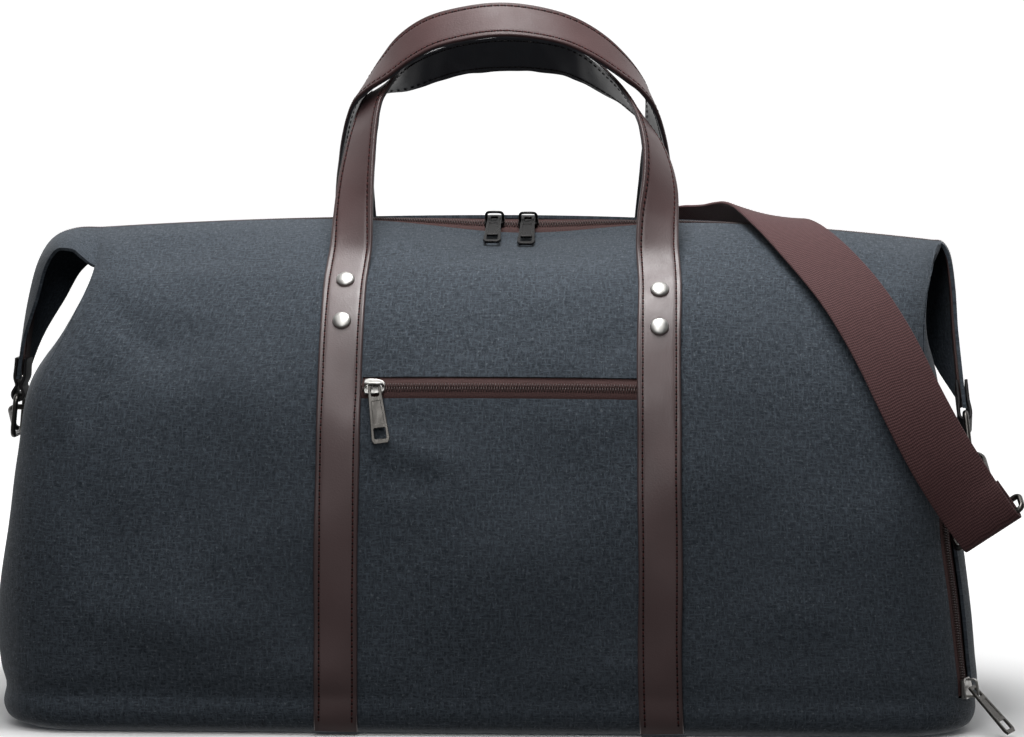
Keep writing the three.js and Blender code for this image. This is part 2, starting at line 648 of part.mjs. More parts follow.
function tube(curve, radius, steps, sides) {
  const shape = new THREE.Shape();
  for (let k = 0; k < sides; k += 1) {
    const angle = (k * 2 * Math.PI) / sides;
    const corner = [radius * Math.cos(angle), radius * Math.sin(angle)];
    k === 0 ? shape.moveTo(...corner) : shape.lineTo(...corner);
  }
  shape.closePath();
  return new THREE.ExtrudeGeometry(shape, { steps, extrudePath: curve, bevelEnabled: false });
}

function rectHole(half, from, to) {
  const hole = new THREE.Path();
  hole.moveTo(-half, -from);
  hole.lineTo(half, -from);
  hole.lineTo(half, -to);
  hole.lineTo(-half, -to);
  hole.closePath();
  return hole;
}

// Pull: its bar lies on the X axis under the bridge and the plate runs along -Y.
function pullGeometry() {
  const { length, thick, head, foot, barHalf } = PULL;
  const shape = new THREE.Shape();
  shape.moveTo(head - 0.8, barHalf);
  shape.lineTo(0.8 - head, barHalf);
  shape.lineTo(-head, barHalf - 0.8);
  shape.lineTo(-foot, 1.6 - length);
  shape.lineTo(1.6 - foot, -length);
  shape.lineTo(foot - 1.6, -length);
  shape.lineTo(foot, 1.6 - length);
  shape.lineTo(head, barHalf - 0.8);
  shape.closePath();
  shape.holes.push(rectHole(PULL_EYE.half, barHalf, PULL_EYE.end));
  shape.holes.push(rectHole(PULL_WINDOW.half, PULL_WINDOW.from, PULL_WINDOW.to));
  const plate = new THREE.ExtrudeGeometry(shape, { depth: thick, bevelEnabled: false });
  return plate.translate(0, 0, -thick / 2);
}

// Places a slider and its pull: travel is the way the zip runs, face looks out of the tape.
function addSlider(names, station, travel, colour, turn, dip) {
  const x = travel.clone().addScaledVector(station.face, -travel.dot(station.face)).normalize();
  const y = station.face.clone().cross(x);
  const frame = new THREE.Matrix4().makeBasis(x, y, station.face).setPosition(station.at);
  add(names.slider, sliderGeometry().applyMatrix4(frame), colour, true);
  const swing = new THREE.Matrix4().makeRotationZ(turn);
  swing.multiply(new THREE.Matrix4().makeRotationX(THREE.MathUtils.degToRad(dip)));
  swing.setPosition(0, 0, PULL_PIVOT);
  add(names.pull, pullGeometry().applyMatrix4(frame.clone().multiply(swing)), "gunmetal", true);
}

const xAxis = new THREE.Vector3(1, 0, 0);
["left", "right"].forEach((side) => {
  const names = { slider: `top_slider_${side}`, pull: `top_pull_${side}` };
  const station = ridgeStation(acrossAt(TOP_PULLS[side], TOP_LEVEL));
  addSlider(names, shifted([station], -ZIP.recess)[0], xAxis, "gunmetal", 0, TOP_PULLS.dip);
});
const pocketPlace = onSide(-1, POCKET_PULL.x, POCKET.level, -ZIP.recess);
const pocketNames = { slider: "pocket_slider", pull: "pocket_pull" };
const pocketTurn = THREE.MathUtils.degToRad(POCKET_PULL.tilt);
addSlider(pocketNames, pocketPlace, xAxis, "nickel", pocketTurn, POCKET_PULL.dip);
const endPlace = stationOn(rightAt, END_ZIP[0].across, END_PULL.level, -ZIP.recess);
const endAhead = rightAt(END_ZIP[0].across, END_PULL.level + 0.1);
const endTravel = endAhead.sub(rightAt(END_ZIP[0].across, END_PULL.level));
const endNames = { slider: "end_slider", pull: "end_pull" };
addSlider(endNames, endPlace, endTravel, "nickel", -Math.PI / 2, -END_PULL.lift);

// Handles: up one leg, over the arch and down the other leg.
function legStation(face, side, level, rise) {
  const share = (level - LEG.footLevel) / (LEG.leaveLevel - LEG.footLevel);
  const shift = face < 0 ? LEG.frontShift : LEG.backShift;
  const x = side * THREE.MathUtils.lerp(LEG.footX, LEG.leaveX, share) + shift;
  return onSide(face, x, level, rise);
}
function handleStations(face, arch) {
  const levels = [LEG.footLevel, 1.6, 2.3, 3, 4, 5, 6, 7, 8, 9, 9.6, LEG.leaveLevel];
  const leg = (side) => levels.map((level) => legStation(face, side, level, GAP));
  const steps = 32;
  const loop = Array.from({ length: steps + 1 }, (_, i) => {
    const row = rowAt(arch, (i * (arch.length - 1)) / steps);
    return { at: new THREE.Vector3(row.x, face * row.y, row.z), twist: row.twist };
  });
  const line = [...leg(-1), ...loop, ...leg(1).reverse()];
  return line.map((station, i) => {
    if (station.face) {
      return station;
    }
    const along = line[i + 1].at.clone().sub(line[i - 1].at).normalize();
    const flat = new THREE.Vector3(0, face, 0);
    flat.addScaledVector(along, -flat.dot(along)).normalize();
    const outward = flat.clone().cross(along).multiplyScalar(-face);
    const angle = THREE.MathUtils.degToRad(station.twist);
    const looks = flat.multiplyScalar(Math.cos(angle)).addScaledVector(outward, Math.sin(angle));
    return { at: station.at, face: looks };
  });
}
const frontLine = handleStations(-1, FRONT_ARCH);
const backLine = handleStations(1, BACK_ARCH);
add("front_handle", strap(frontLine, bandSection(HANDLE.width, HANDLE.thick)), "leather");
add("back_handle", strap(backLine, bandSection(HANDLE.width, HANDLE.thick)), "leather");

// Rivets: low domes on the handle legs.
function rivetGeometry(station) {
  const { radius, rim, height, sides } = RIVET;
  const low = [[0, 0], [radius, 0], [radius, rim]];
  const high = [[radius * 0.86, height * 0.62], [radius * 0.5, height * 0.92], [0, height]];
  const profile = [...low, ...high].map(([r, h]) => new THREE.Vector2(r, h));
  const dome = new THREE.LatheGeometry(profile, sides);
  const turn = new THREE.Quaternion().setFromUnitVectors(new THREE.Vector3(0, 1, 0), station.face);
  return dome.applyQuaternion(turn).translate(...station.at.toArray());
}
for (const [face, faceName] of [[-1, "front"], [1, "back"]]) {
  for (const [side, sideName] of [[-1, "left"], [1, "right"]]) {
    for (const [rowName, level] of Object.entries(RIVET_LEVELS[sideName])) {
      const station = legStation(face, side, level, HANDLE.thick + 2 * GAP);
      add(`rivet_${faceName}_${sideName}_${rowName}`, rivetGeometry(station), "nickel", true);
    }
  }
}

// A closed wire bent to a rounded rectangle in the plane of two directions.
function wireLoop(centre, wide, tall, halfWide, halfTall, corner, wire, segments) {
  const round = [0, 30, 60, 90].map((deg) => THREE.MathUtils.degToRad(deg));
  const wideIn = halfWide - corner;
  const tallIn = halfTall - corner;
  const quarter = round.map((t) => [wideIn + corner * Math.sin(t), tallIn + corner * Math.cos(t)]);
  const back = [...quarter].reverse();
  const outline = [
    ...quarter,
    ...back.map(([x, y]) => [x, -y]),
    ...quarter.map(([x, y]) => [-x, -y]),
    ...back.map(([x, y]) => [-x, y]),
  ];
  const points = outline.map(([x, y]) => centre.clone().addScaledVector(wide, x).addScaledVector(tall, y));
  const curve = new THREE.CatmullRomCurve3(points, true, "catmullrom", 0.3);
  return new THREE.TubeGeometry(curve, segments, wire, 6, true);
}

// A strap end folded round a bar: in along the back layer, round the bar, out along the front layer.
function foldStations(bar, away, face, radius, lap) {
  const back = face.clone().negate();
  const start = bar.clone().addScaledVector(back, radius);
  const stations = [{ at: start.clone().addScaledVector(away, lap), face: back }];
  const steps = 8;
  for (let i = 0; i <= steps; i += 1) {
    const angle = (i * Math.PI) / steps;
    const looks = back.clone().multiplyScalar(Math.cos(angle)).addScaledVector(away, -Math.sin(angle));
    stations.push({ at: bar.clone().addScaledVector(looks, radius), face: looks });
  }
  return stations;
}

// Tab, ring and hook at one end; gives back how the shoulder strap folds round the hook's eye.
function addEnd(name, side) {
  const tip = wingFrame(side, 1);
  const before = wingFrame(side, 0.9);
  const down = tip.at.clone().sub(before.at).normalize();
  const up = tip.up.clone().addScaledVector(down, -tip.up.dot(down)).normalize();
  const beside = down.clone().cross(up);
  const place = (along, out) => tip.at.clone().addScaledVector(down, along).addScaledVector(up, out);
  const outer = TAB.clear;
  const inner = -CANVAS - TAB.clear;
  const middle = (outer + inner) / 2;
  const bar = place(TAB.reach, middle);
  const fold = foldStations(bar, down.clone().negate(), up, TAB.loop, 3).slice(1);
  const pinched = (out, face) => (side < 0 ? [{ at: place(TAB.pinch, out), face }] : []);
  const tabLine = [
    { at: place(-TAB.lap, inner), face: up.clone().negate() },
    { at: place(0, inner), face: up.clone().negate() },
    ...pinched(middle - GAP, up.clone().negate()),
    ...fold,
    ...pinched(middle + GAP, up),
    { at: place(0, outer), face: up },
    { at: place(-TAB.lap, outer), face: up },
  ];
  add(`${name}_tab`, strap(tabLine, bandSection(TAB.width, TAB.thick)), "dark");
  const centre = bar.clone().addScaledVector(down, RING.halfHeight);
  const { halfWidth, halfHeight, corner, wire } = RING;
  const ring = wireLoop(centre, beside, down, halfWidth, halfHeight, corner, wire, 24);
  add(`${name}_ring`, ring, "gunmetal", true);

  const end = STRAP_ENDS[name];
  const eye = vec(end);
  const [aside, below] = end.hold;
  const held = centre.clone().addScaledVector(beside, aside * halfWidth);
  held.addScaledVector(down, below * halfHeight);
  const reach = held.clone().sub(eye);
  const length = reach.length() + end.past;
  const d = reach.normalize();
  const along = new THREE.Vector3(...end.bar);
  along.addScaledVector(d, -along.dot(d)).normalize();
  const across = beside.clone().multiplyScalar(below).addScaledVector(down, aside);
  across.addScaledVector(d, -across.dot(d)).normalize();
  const wide = across.cross(d);
  const onAxis = (y) => eye.clone().addScaledVector(d, y);
  const deep = HOOK.eyeDepth / 2;
  const eyeLoop = wireLoop(onAxis(deep), along, d, HOOK.eyeHalf, deep, 3, HOOK.wire, 26);
  const half = HOOK.loopLength / 2;
  const hookLoop = wireLoop(onAxis(length - half), wide, d, HOOK.loopHalf, half, 7, HOOK.wire, 22);
  const neckFrom = onAxis(HOOK.eyeDepth - HOOK.wire);
  const neckTo = onAxis(length - HOOK.loopLength + HOOK.wire);
  const neck = tube(new THREE.LineCurve3(neckFrom, neckTo), HOOK.neck, 1, 10);
  const hook = solidOf(eyeLoop).add(solidOf(neck)).add(solidOf(hookLoop));
  add(`${name}_hook`, geometryOf(hook), "gunmetal", true);

  const away = new THREE.Vector3(...end.away);
  away.addScaledVector(along, -away.dot(along)).normalize();
  const face = away.clone().cross(along).normalize();
  const outside = new THREE.Vector3(side > 0 ? 0 : -1, side > 0 ? -1 : 0, 0);
  face.multiplyScalar(Math.sign(face.dot(outside)));
  return foldStations(eye, away, face, STRAP.loop, STRAP.lap);
}
const rightFold = addEnd("right", 1);
const leftFold = addEnd("left", -1);

const routeSteps = 126;
const route = Array.from({ length: routeSteps + 1 }, (_, i) => {
  const row = rowAt(STRAP_ROUTE, (i * (STRAP_ROUTE.length - 1)) / routeSteps);
  return { at: vec(row), face: new THREE.Vector3(row.fx, row.fy, row.fz).normalize() };
});
function between(from, to, count) {
  return Array.from({ length: count }, (_, i) => {
    const share = (i + 1) / (count + 1);
    const face = from.face.clone().lerp(to.face, share).normalize();
    return { at: from.at.clone().lerp(to.at, share), face };
  });
}
const strapLine = [
  ...rightFold,
  ...between(rightFold.at(-1), route[0], 5),
  ...route,
  ...between(route.at(-1), leftFold.at(-1), 5),
  ...leftFold.reverse(),
];
add("shoulder_strap", strap(strapLine, bandSection(STRAP.width, STRAP.thick)), "webbing");

export default bag;
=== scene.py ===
import math

import bpy
import numpy as np
from mathutils import Matrix, Vector


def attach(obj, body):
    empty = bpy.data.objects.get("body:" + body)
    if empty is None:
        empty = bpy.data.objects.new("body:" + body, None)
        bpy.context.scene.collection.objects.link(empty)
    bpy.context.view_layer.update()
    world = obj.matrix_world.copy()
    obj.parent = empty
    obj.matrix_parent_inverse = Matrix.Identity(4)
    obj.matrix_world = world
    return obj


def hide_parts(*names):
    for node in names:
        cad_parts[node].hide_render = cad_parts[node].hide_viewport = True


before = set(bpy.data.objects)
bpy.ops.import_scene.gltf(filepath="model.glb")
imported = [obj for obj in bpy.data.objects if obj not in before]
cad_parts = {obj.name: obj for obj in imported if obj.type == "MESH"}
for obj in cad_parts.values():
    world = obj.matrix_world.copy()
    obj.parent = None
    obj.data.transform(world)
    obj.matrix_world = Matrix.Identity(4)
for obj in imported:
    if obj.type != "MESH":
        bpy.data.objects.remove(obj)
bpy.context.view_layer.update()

MM = 0.001

# Sizes in millimetres, the same as the part's own.
CANVAS = 2.0
GAP = 0.4
RIDGE_DROP = {"left": 8, "right": 14}
RIDGE_SAG = {"x": 10, "spread": 70, "depth": 10}
SEAM_SHARE = 0.9985

# Level sections of the body: z, left, right, depth, corner, bulge, fold.
SECTIONS = np.array([
    (0, 278, 265, 112, 40, 0, 0),
    (4, 286, 272, 119.5, 44, 0, 0),
    (11, 289.5, 275, 122.5, 46, 1, 0),
    (21, 290, 275, 123, 47, 2, 0),
    (45, 290, 272, 124, 47, 4, -2),
    (80, 289.5, 267.5, 124.5, 46, 6, -3),
    (120, 286.5, 262, 123, 44, 7, -3),
    (160, 281.5, 258, 118, 42, 7, 0),
    (200, 276, 255, 109, 38, 6, 8),
    (235, 259.5, 253, 93, 33, 4, 19),
    (259, 249, 254, 74, 28, 2, 27),
    (271, 246, 256, 58, 24, 1, 30),
    (280, 245, 256, 43, 18, 0, 30),
    (286.5, 244.5, 255, 28, 11, 0, 30),
    (290.8, 244, 254, 15, 6, 0, 30),
    (293, 244, 254, 6.9, 2.6, 0, 30),
], float)
SEAM_LEVEL = 3
CROTCH_LEVEL = 11
TOP_LEVEL = len(SECTIONS) - 1
EDGE_HALF = SECTIONS[TOP_LEVEL][3]

# Soft hollows of the front canvas: x, z, spread in x, spread in z, depth.
DENTS = [
    (-236, 44, 46, 16, 3),
    (-205, 232, 40, 26, 5),
    (4, 280, 58, 17, 8),
    (165, 176, 30, 52, 4),
]

# Folds of the front canvas: both ends as x and z, half width, height (below zero for a hollow).
FOLDS = [
    (12, 244, 78, 264, 10, 2.4),
    (55, 216, 80, 232, 12, -2.4),
    (-66, 170, -24, 158, 8, 1.3),
    (-60, 147, -34, 145, 9, -1.4),
    (-240, 213, -252, 172, 6, 1.8),
    (-228, 214, -238, 176, 8, -1.6),
    (-214, 277, -160, 278, 9, -2.6),
    (-216, 62, -132, 64, 16, 1.4),
    (-236, 256, -188, 212, 8, -2.2),
    (-222, 262, -168, 236, 9, 1.4),
    (-244, 120, -226, 60, 14, 1.2),
    (168, 246, 200, 194, 11, 1.2),
    (120, 268, 150, 244, 12, -1.8),
    (150, 78, 236, 60, 18, 1.2),
    (-20, 98, 60, 92, 20, 0.9),
]

# Where the end panels turn in under the roof: up, inward, narrowing.
TUCK = [(7, 6, 0.72), (11.5, 12, 0.5)]

# The wings: out, lean and down of the ridge line, spread and drop of the front flap, then of the back flap.
WINGS = {
    "left": np.array([
        (0, 0, 0, 1, 1, 1, 1),
        (15, 0, 0.5, 0.82, 0.58, 0.86, 1.05),
        (28, 0, 6, 0.64, 0.44, 0.7, 1.15),
        (37, 0, 20, 0.5, 0.38, 0.55, 1.0),
        (43, 0, 42, 0.38, 0.33, 0.4, 0.76),
        (47, 0, 66, 0.25, 0.12, 0.25, 0.33),
        (49.5, 0, 90, 0.14, 0, 0.14, 0),
    ], float),
    "right": np.array([
        (0, 0, 0, 1, 1, 1, 1),
        (5.5, -1, 1, 0.3, 0.16, 0.9, 0.92),
        (10, -3, 9, 0.15, 0.06, 0.76, 0.8),
        (12.5, -9, 28, 0.1, 0.03, 0.62, 0.88),
        (13.5, -18, 50, 0.1, 0.01, 0.46, 0.85),
        (15, -29, 72, 0.16, 0, 0.28, 0.72),
        (17, -42, 95, 0.14, 0, 0.14, 0),
    ], float),
}
WING_SLACK = 2.2
CREASE = {"z": 23, "half": 6.5, "depth": 2.2}
WING_SHARE_ZIP = 0.98

ZIP = {"recess": 0.8, "slot": 13.0}
POCKET = {"level": 7.97, "from": -76.6, "to": 80.2}
END_ZIP = np.array([
    (-0.9, 3.1),
    (-0.9, 4),
    (-0.9, 5),
    (-0.9, 6),
    (-0.84, 6.8),
    (-0.66, 7.5),
    (-0.36, 7.9),
    (0, 8),
], float)

PULL_PIVOT = 5.7
TOP_PULLS = {"left": -7, "right": 13, "dip": -10}
POCKET_PULL = {"x": -69, "dip": 6, "tilt": 8}
END_PULL = {"level": 3.3, "lift": 40}

HANDLE = {"width": 25.0, "thick": 3.0}
LEG = {"foot_level": 0.95, "leave_level": 10.2, "foot_x": 93.3, "leave_x": 90.5, "front": 1.8, "back": -4.0}
# Arches from left to right: x, y and z of the middle of the strap and the twist of its outer face.
FRONT_ARCH = np.array([
    (-86.7, 60, 275, 6),
    (-86.7, 51, 293, 18),
    (-86, 41, 312, 30),
    (-84.2, 29, 331, 42),
    (-81.5, 16, 349.5, 55),
    (-76, 3.4, 364.8, 73),
    (-60, -6, 374, 124),
    (-32.2, -12, 385.2, 139),
    (1.8, -14, 388.8, 145),
    (35, -12, 384.6, 137),
    (58, -6, 371, 117),
    (74, 3, 357, 98),
    (84, 16, 342, 78),
    (89, 29, 327, 57),
    (90.8, 41, 310, 36),
    (90.3, 51, 293, 18),
    (90.3, 60, 275, 6),
], float)
BACK_ARCH = np.array([
    (-94, 60, 275, 6),
    (-94, 50, 292, 18),
    (-93.5, 39, 310, 33),
    (-92.5, 27, 328, 50),
    (-91, 15, 346, 68),
    (-85.5, 2, 365, 91),
    (-69, -12, 381.5, 122),
    (-44.7, -20, 399.4, 140),
    (-3, -23, 408, 142),
    (38.3, -20, 400.5, 132),
    (66.5, -12, 382.5, 116),
    (82.5, 2, 364.5, 92),
    (87, 15, 346, 68),
    (87.5, 27, 328, 50),
    (87.5, 39, 310, 33),
    (86.8, 50, 292, 18),
    (86, 60, 275, 6),
], float)

RIVET_LEVELS = {"left": {"upper": 9.87, "lower": 8.98}, "right": {"upper": 9.66, "lower": 8.91}}

TAB = {"width": 22.0, "thick": 1.8, "loop": 2.4, "lap": 12.0, "reach": 10.0, "clear": 0.8, "pinch": 4.0}
RING = {"half_width": 16.0, "half_height": 12.0, "corner": 5.0, "wire": 1.6}
HOOK = {"eye_half": 22.5, "eye_depth": 12.0, "wire": 1.7, "neck": 3.2, "loop_half": 8.0, "loop_length": 34.0}
STRAP_ENDS = {
    "right": {
        "at": (280, -117, 120), "bar": (0.79, -0.18, 0.58), "away": (-0.59, 0, 0.8), "out": (0, -1, 0),
        "past": 4.2, "hold": (0, 1),
    },
    "left": {
        "at": (-297, 72, 141), "bar": (0, 0.37, 0.93), "away": (0, 0.93, -0.37), "out": (-1, 0, 0),
        "past": 6.0, "hold": (1, 0),
    },
}
STRAP = {"width": 38.0, "thick": 1.8, "loop": 2.7, "lap": 20.0}
# The shoulder strap: x, y, z of its inner face and the way its outer face looks.
STRAP_ROUTE = np.array([
    (264.5, -120, 141, -0.02, -1, 0),
    (250, -120, 164, 0.1, -0.97, 0.16),
    (235, -116, 192, 0.12, -0.93, 0.32),
    (220, -105, 222, 0.06, -0.85, 0.5),
    (202, -86, 250.5, 0.02, -0.72, 0.7),
    (180, -55, 275, 0, -0.52, 0.86),
    (162, -20, 289.5, 0.12, -0.3, 0.94),
    (146, 14, 292.8, 0.3, 0.2, 0.93),
    (127, 46, 287.5, 0.17, 0.6, 0.78),
    (105, 70, 282, 0.04, 0.8, 0.6),
    (81, 88, 269.5, 0, 0.84, 0.54),
    (62, 105, 245, 0, 0.86, 0.51),
    (46, 121, 206, 0, 0.92, 0.39),
    (26, 131.5, 167, 0, 0.98, 0.2),
    (-8, 136.5, 132, 0, 1, 0.05),
    (-60, 138.5, 110, 0, 1, 0),
    (-118, 138, 97, 0, 1, 0),
    (-192, 134, 92, -0.06, 1, 0),
    (-244, 129, 102, -0.4, 0.92, 0),
    (-278, 118.5, 115.5, -0.78, 0.62, 0),
    (-294, 106, 125, -0.94, 0.34, 0),
    (-298.8, 94, 131, -0.99, 0.1, 0),
], float)

# Slow waves of the slack canvas, drawn once from a fixed seed: wave vector, phase, height.
WAVE_LENGTHS = np.geomspace(42, 190, 16)
WAVE_SHARE = 0.0042  # Height as a share of the length.
WAVES = []
rng = np.random.default_rng(11)
for length in WAVE_LENGTHS:
    heading = rng.uniform(0, math.pi)
    WAVES.append((
        2 * math.pi * math.cos(heading) / length,
        2 * math.pi * math.sin(heading) / length,
        rng.uniform(0, 2 * math.pi),
        WAVE_SHARE * length,
    ))


def unit(v):
    v = np.asarray(v, float)
    return v / np.linalg.norm(v, axis=-1, keepdims=True)


def spline(rows, place):
    """Smooth rows of a table at places between its rows."""
    rows = np.asarray(rows, float)
    place = np.asarray(place, float)
    last = len(rows) - 1
    i = np.clip(np.floor(place).astype(int), 0, last - 1)
    f = (place - i)[..., None]
    p, a, b, n = (rows[np.clip(i + k, 0, last)] for k in (-1, 0, 1, 2))
    return a + 0.5 * f * (b - p + f * (2 * p - 5 * a + 4 * b - n + f * (3 * (a - b) + n - p)))


def smoothstep(x, low, high):
    t = np.clip((np.asarray(x, float) - low) / (high - low), 0, 1)
    return t * t * (3 - 2 * t)


def between(x, low, full, fade, high):
    """From 0 at low up to 1 at full, and from 1 at fade back to 0 at high."""
    return smoothstep(x, low, full) * (1 - smoothstep(x, fade, high))


def pair(a, b):
    return np.broadcast_arrays(np.asarray(a, float), np.asarray(b, float))


def distances(points):
    """Distance along a line of points, from the first to each."""
    return np.concatenate([[0], np.cumsum(np.linalg.norm(np.diff(points, axis=0), axis=1))])


def line_bump(x, z, x0, z0, x1, z1, width, height):
    """A ridge or hollow along a short line, fading at its ends."""
    dx, dz = x1 - x0, z1 - z0
    t = ((x - x0) * dx + (z - z0) * dz) / (dx * dx + dz * dz)
    c = np.clip(t, 0.2, 0.8)
    d2 = (x - x0 - c * dx) ** 2 + (z - z0 - c * dz) ** 2
    return height * np.exp(-d2 / (width * width))


def slack(x, z, shift):
    return sum(h * np.sin(a * (x + shift) + b * z + c) for a, b, c, h in WAVES)


def lowered(x, z):
    share = np.abs(x) / 250
    drop = np.where(x < 0, RIDGE_DROP["left"], RIDGE_DROP["right"])
    return z - drop * share * share * (z / 293) ** 2


def strap_near(x, z):
    """How much the shoulder strap presses on the front, from 0 away from it to 1 under it."""
    ends = STRAP_ROUTE[:6]
    best = np.full(np.shape(x), 1e9)
    for a, b in zip(ends[:-1], ends[1:]):
        dx, dz = b[0] - a[0], b[2] - a[2]
        t = np.clip(((x - a[0]) * dx + (z - a[2]) * dz) / (dx * dx + dz * dz), 0, 1)
        best = np.minimum(best, np.hypot(x - a[0] - t * dx, z - a[2] - t * dz))
    return 1 - smoothstep(best, 20, 34)


def seam_crease(share, z):
    """The soft crease above the base."""
    return CREASE["depth"] * share * np.exp(-((z - CREASE["z"]) / CREASE["half"]) ** 2)


def side_folds(face, x, z, across, level):
    calm = between(level, 3.0, 4.2, 12.2, 13.6) * (1 - smoothstep(np.abs(across), 0.86, 0.99))
    if face > 0:
        return 0.8 * slack(x, z, 300) * calm
    lines = sum(line_bump(x, z, *row) for row in FOLDS)
    slot = np.exp(-((z - 199) / 15) ** 2) * between(x, -100, -84, 86, 100)
    rise = (0.75 * slack(x, z, 0) + lines) * calm * (1 - slot)
    press = strap_near(x, z)
    return rise * (1 - press) - 0.9 * press * calm


def round_corner(across, straight, corner):
    """A level section at a share of its half: the way along, and the part of the corner still to go."""
    along = np.abs(across) * (straight + corner * math.pi / 4)
    turn = np.maximum(0, along - straight) / corner
    return np.sign(across) * (np.minimum(along, straight) + corner * np.sin(turn)), corner * np.cos(turn)


def side_point(face, across, level, soft=True):
    """Outer face of a long side."""
    across, level = pair(across, level)
    z, left, right, depth, corner, bulge, _ = np.moveaxis(spline(SECTIONS, level), -1, 0)
    x, rest = round_corner(across, np.where(across < 0, left, right) - corner, corner)
    ease = (1 - across * across) ** 2
    out = depth - corner + rest + bulge * ease
    if face < 0:
        hollow = sum(d * np.exp(-((x - a) / c) ** 2 - ((z - b) / e) ** 2) for a, b, c, e, d in DENTS)
        out = out - hollow * np.minimum(1, 4 * ease) * (1 - smoothstep(level, TOP_LEVEL - 2, TOP_LEVEL))
    if soft:
        share = 0.25 + 0.75 * (1 - smoothstep(x, -190, -40)) if face < 0 else 0.3
        out = out + side_folds(face, x, z, across, level) - seam_crease(share, z)
    high = lowered(x, z)
    if face < 0:
        sag = RIDGE_SAG["depth"] * np.exp(-((x - RIDGE_SAG["x"]) / RIDGE_SAG["spread"]) ** 2)
        high = high - smoothstep(level, 10, 14) * sag
    return np.stack([x, face * out, high], -1)


def end_point(side, across, level, soft=True):
    """Outer face of an end."""
    across, level = pair(across, level)
    z, left, right, depth, corner, _, fold = np.moveaxis(spline(SECTIONS, level), -1, 0)
    y, rest = round_corner(across, depth - corner, corner)
    ease = (1 - across * across) ** 2
    sharp = (1 - across ** 6) ** 2
    half = left if side < 0 else right
    x = half - corner + rest - fold * (ease + (sharp - ease) * smoothstep(level, 8, 10))
    if soft:
        calm = between(level, 3.0, 4.2, 9.0, 10.6) * (1 - smoothstep(np.abs(across), 0.7, 0.97))
        creases = 1.6 * np.cos(y / 9.0) * between(level, 6.6, 8.6, 9.6, 10.8)
        quiet, creased = (0.7, 1) if side < 0 else (0.45, 0.3)
        x = x + calm * (quiet * slack(y, z, 90 * side) + creased * creases)
        share = 0.3 + 0.7 * (1 - smoothstep(y, -110, 20)) if side < 0 else 0.25
        x = x - seam_crease(share, z)
    return np.stack([side * x, y, lowered(side * x, z)], -1)


def normal_of(point_at, u, v):
    step = 0.01
    du = point_at(u + step, v) - point_at(u - step, v)
    dv = point_at(u, v + step) - point_at(u, v - step)
    return unit(np.cross(du, dv))


def wing_frame(side, share):
    rows = WINGS["left" if side < 0 else "right"]
    place = np.asarray(share, float) * (len(rows) - 1)
    out, lean, down, spread, drop, back_spread, back_drop = np.moveaxis(spline(rows, place), -1, 0)
    before = spline(rows, np.maximum(0, place - 0.05))
    after = spline(rows, np.minimum(len(rows) - 1, place + 0.05))
    fall = np.arctan2(after[..., 2] - before[..., 2], after[..., 0] - before[..., 0])
    root = side_point(-1, side * SEAM_SHARE, TOP_LEVEL, False)
    zero = np.zeros_like(fall)
    return {
        "spread": {-1: spread, 1: back_spread},
        "drop": {-1: drop, 1: back_drop},
        "lean": lean,
        "root": root,
        "at": np.stack([root[0] + side * out, lean, root[2] - down], -1),
        "along": np.stack([side * np.cos(fall), zero, -np.sin(fall)], -1),
        "up": np.stack([side * np.sin(fall), zero, np.cos(fall)], -1),
    }


def wing_point(face, side, share, level):
    share, level = pair(share, level)
    f = wing_frame(side, share)
    edge = side_point(face, np.full(share.shape, side * SEAM_SHARE), level, False)
    slit = EDGE_HALF + WING_SLACK * share
    forward = (edge[..., 0] - f["root"][0]) * side * (1 - share)
    beside = slit + (np.abs(edge[..., 1]) - EDGE_HALF) * f["spread"][face]
    fall = (edge[..., 2] - f["root"][2]) * f["drop"][face]
    p = f["at"] + f["along"] * forward[..., None] + f["up"] * fall[..., None]
    ripple = 1.1 * np.sin(share * 9 + face) * np.sin(math.pi * share) * smoothstep(-level, -14.2, -12.5)
    p[..., 1] = f["lean"] + face * (beside + ripple)
    return p


# Meshes.
def link(name, verts, faces, uvs=None, sharp=None):
    """One smooth mesh object from points in millimetres; uvs are per point, in millimetres too."""
    mesh = bpy.data.meshes.new(name)
    mesh.from_pydata((np.asarray(verts) * MM).tolist(), [], faces)
    if uvs is not None:
        layer = mesh.uv_layers.new(name="cloth")
        index = np.empty(len(mesh.loops), np.int32)
        mesh.loops.foreach_get("vertex_index", index)
        layer.data.foreach_set("uv", (np.asarray(uvs)[index] * MM).astype(np.float32).ravel())
    mesh.polygons.foreach_set("use_smooth", np.ones(len(mesh.polygons), bool))
    if sharp is not None:
        mesh.set_sharp_from_angle(angle=math.radians(sharp))
    mesh.update()
    obj = bpy.data.objects.new(name, mesh)
    bpy.context.scene.collection.objects.link(obj)
    return obj


def finish_piece(obj, material, nodes=(), body="bag"):
    """Material, body and the nodes of the part that a finished piece stands for."""
    obj.data.materials.clear()
    obj.data.materials.append(material)
    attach(obj, body)
    if nodes:
        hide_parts(*nodes)


def grid_quads(ids):
    return np.stack([ids[:-1, :-1], ids[1:, :-1], ids[1:, 1:], ids[:-1, 1:]], -1)


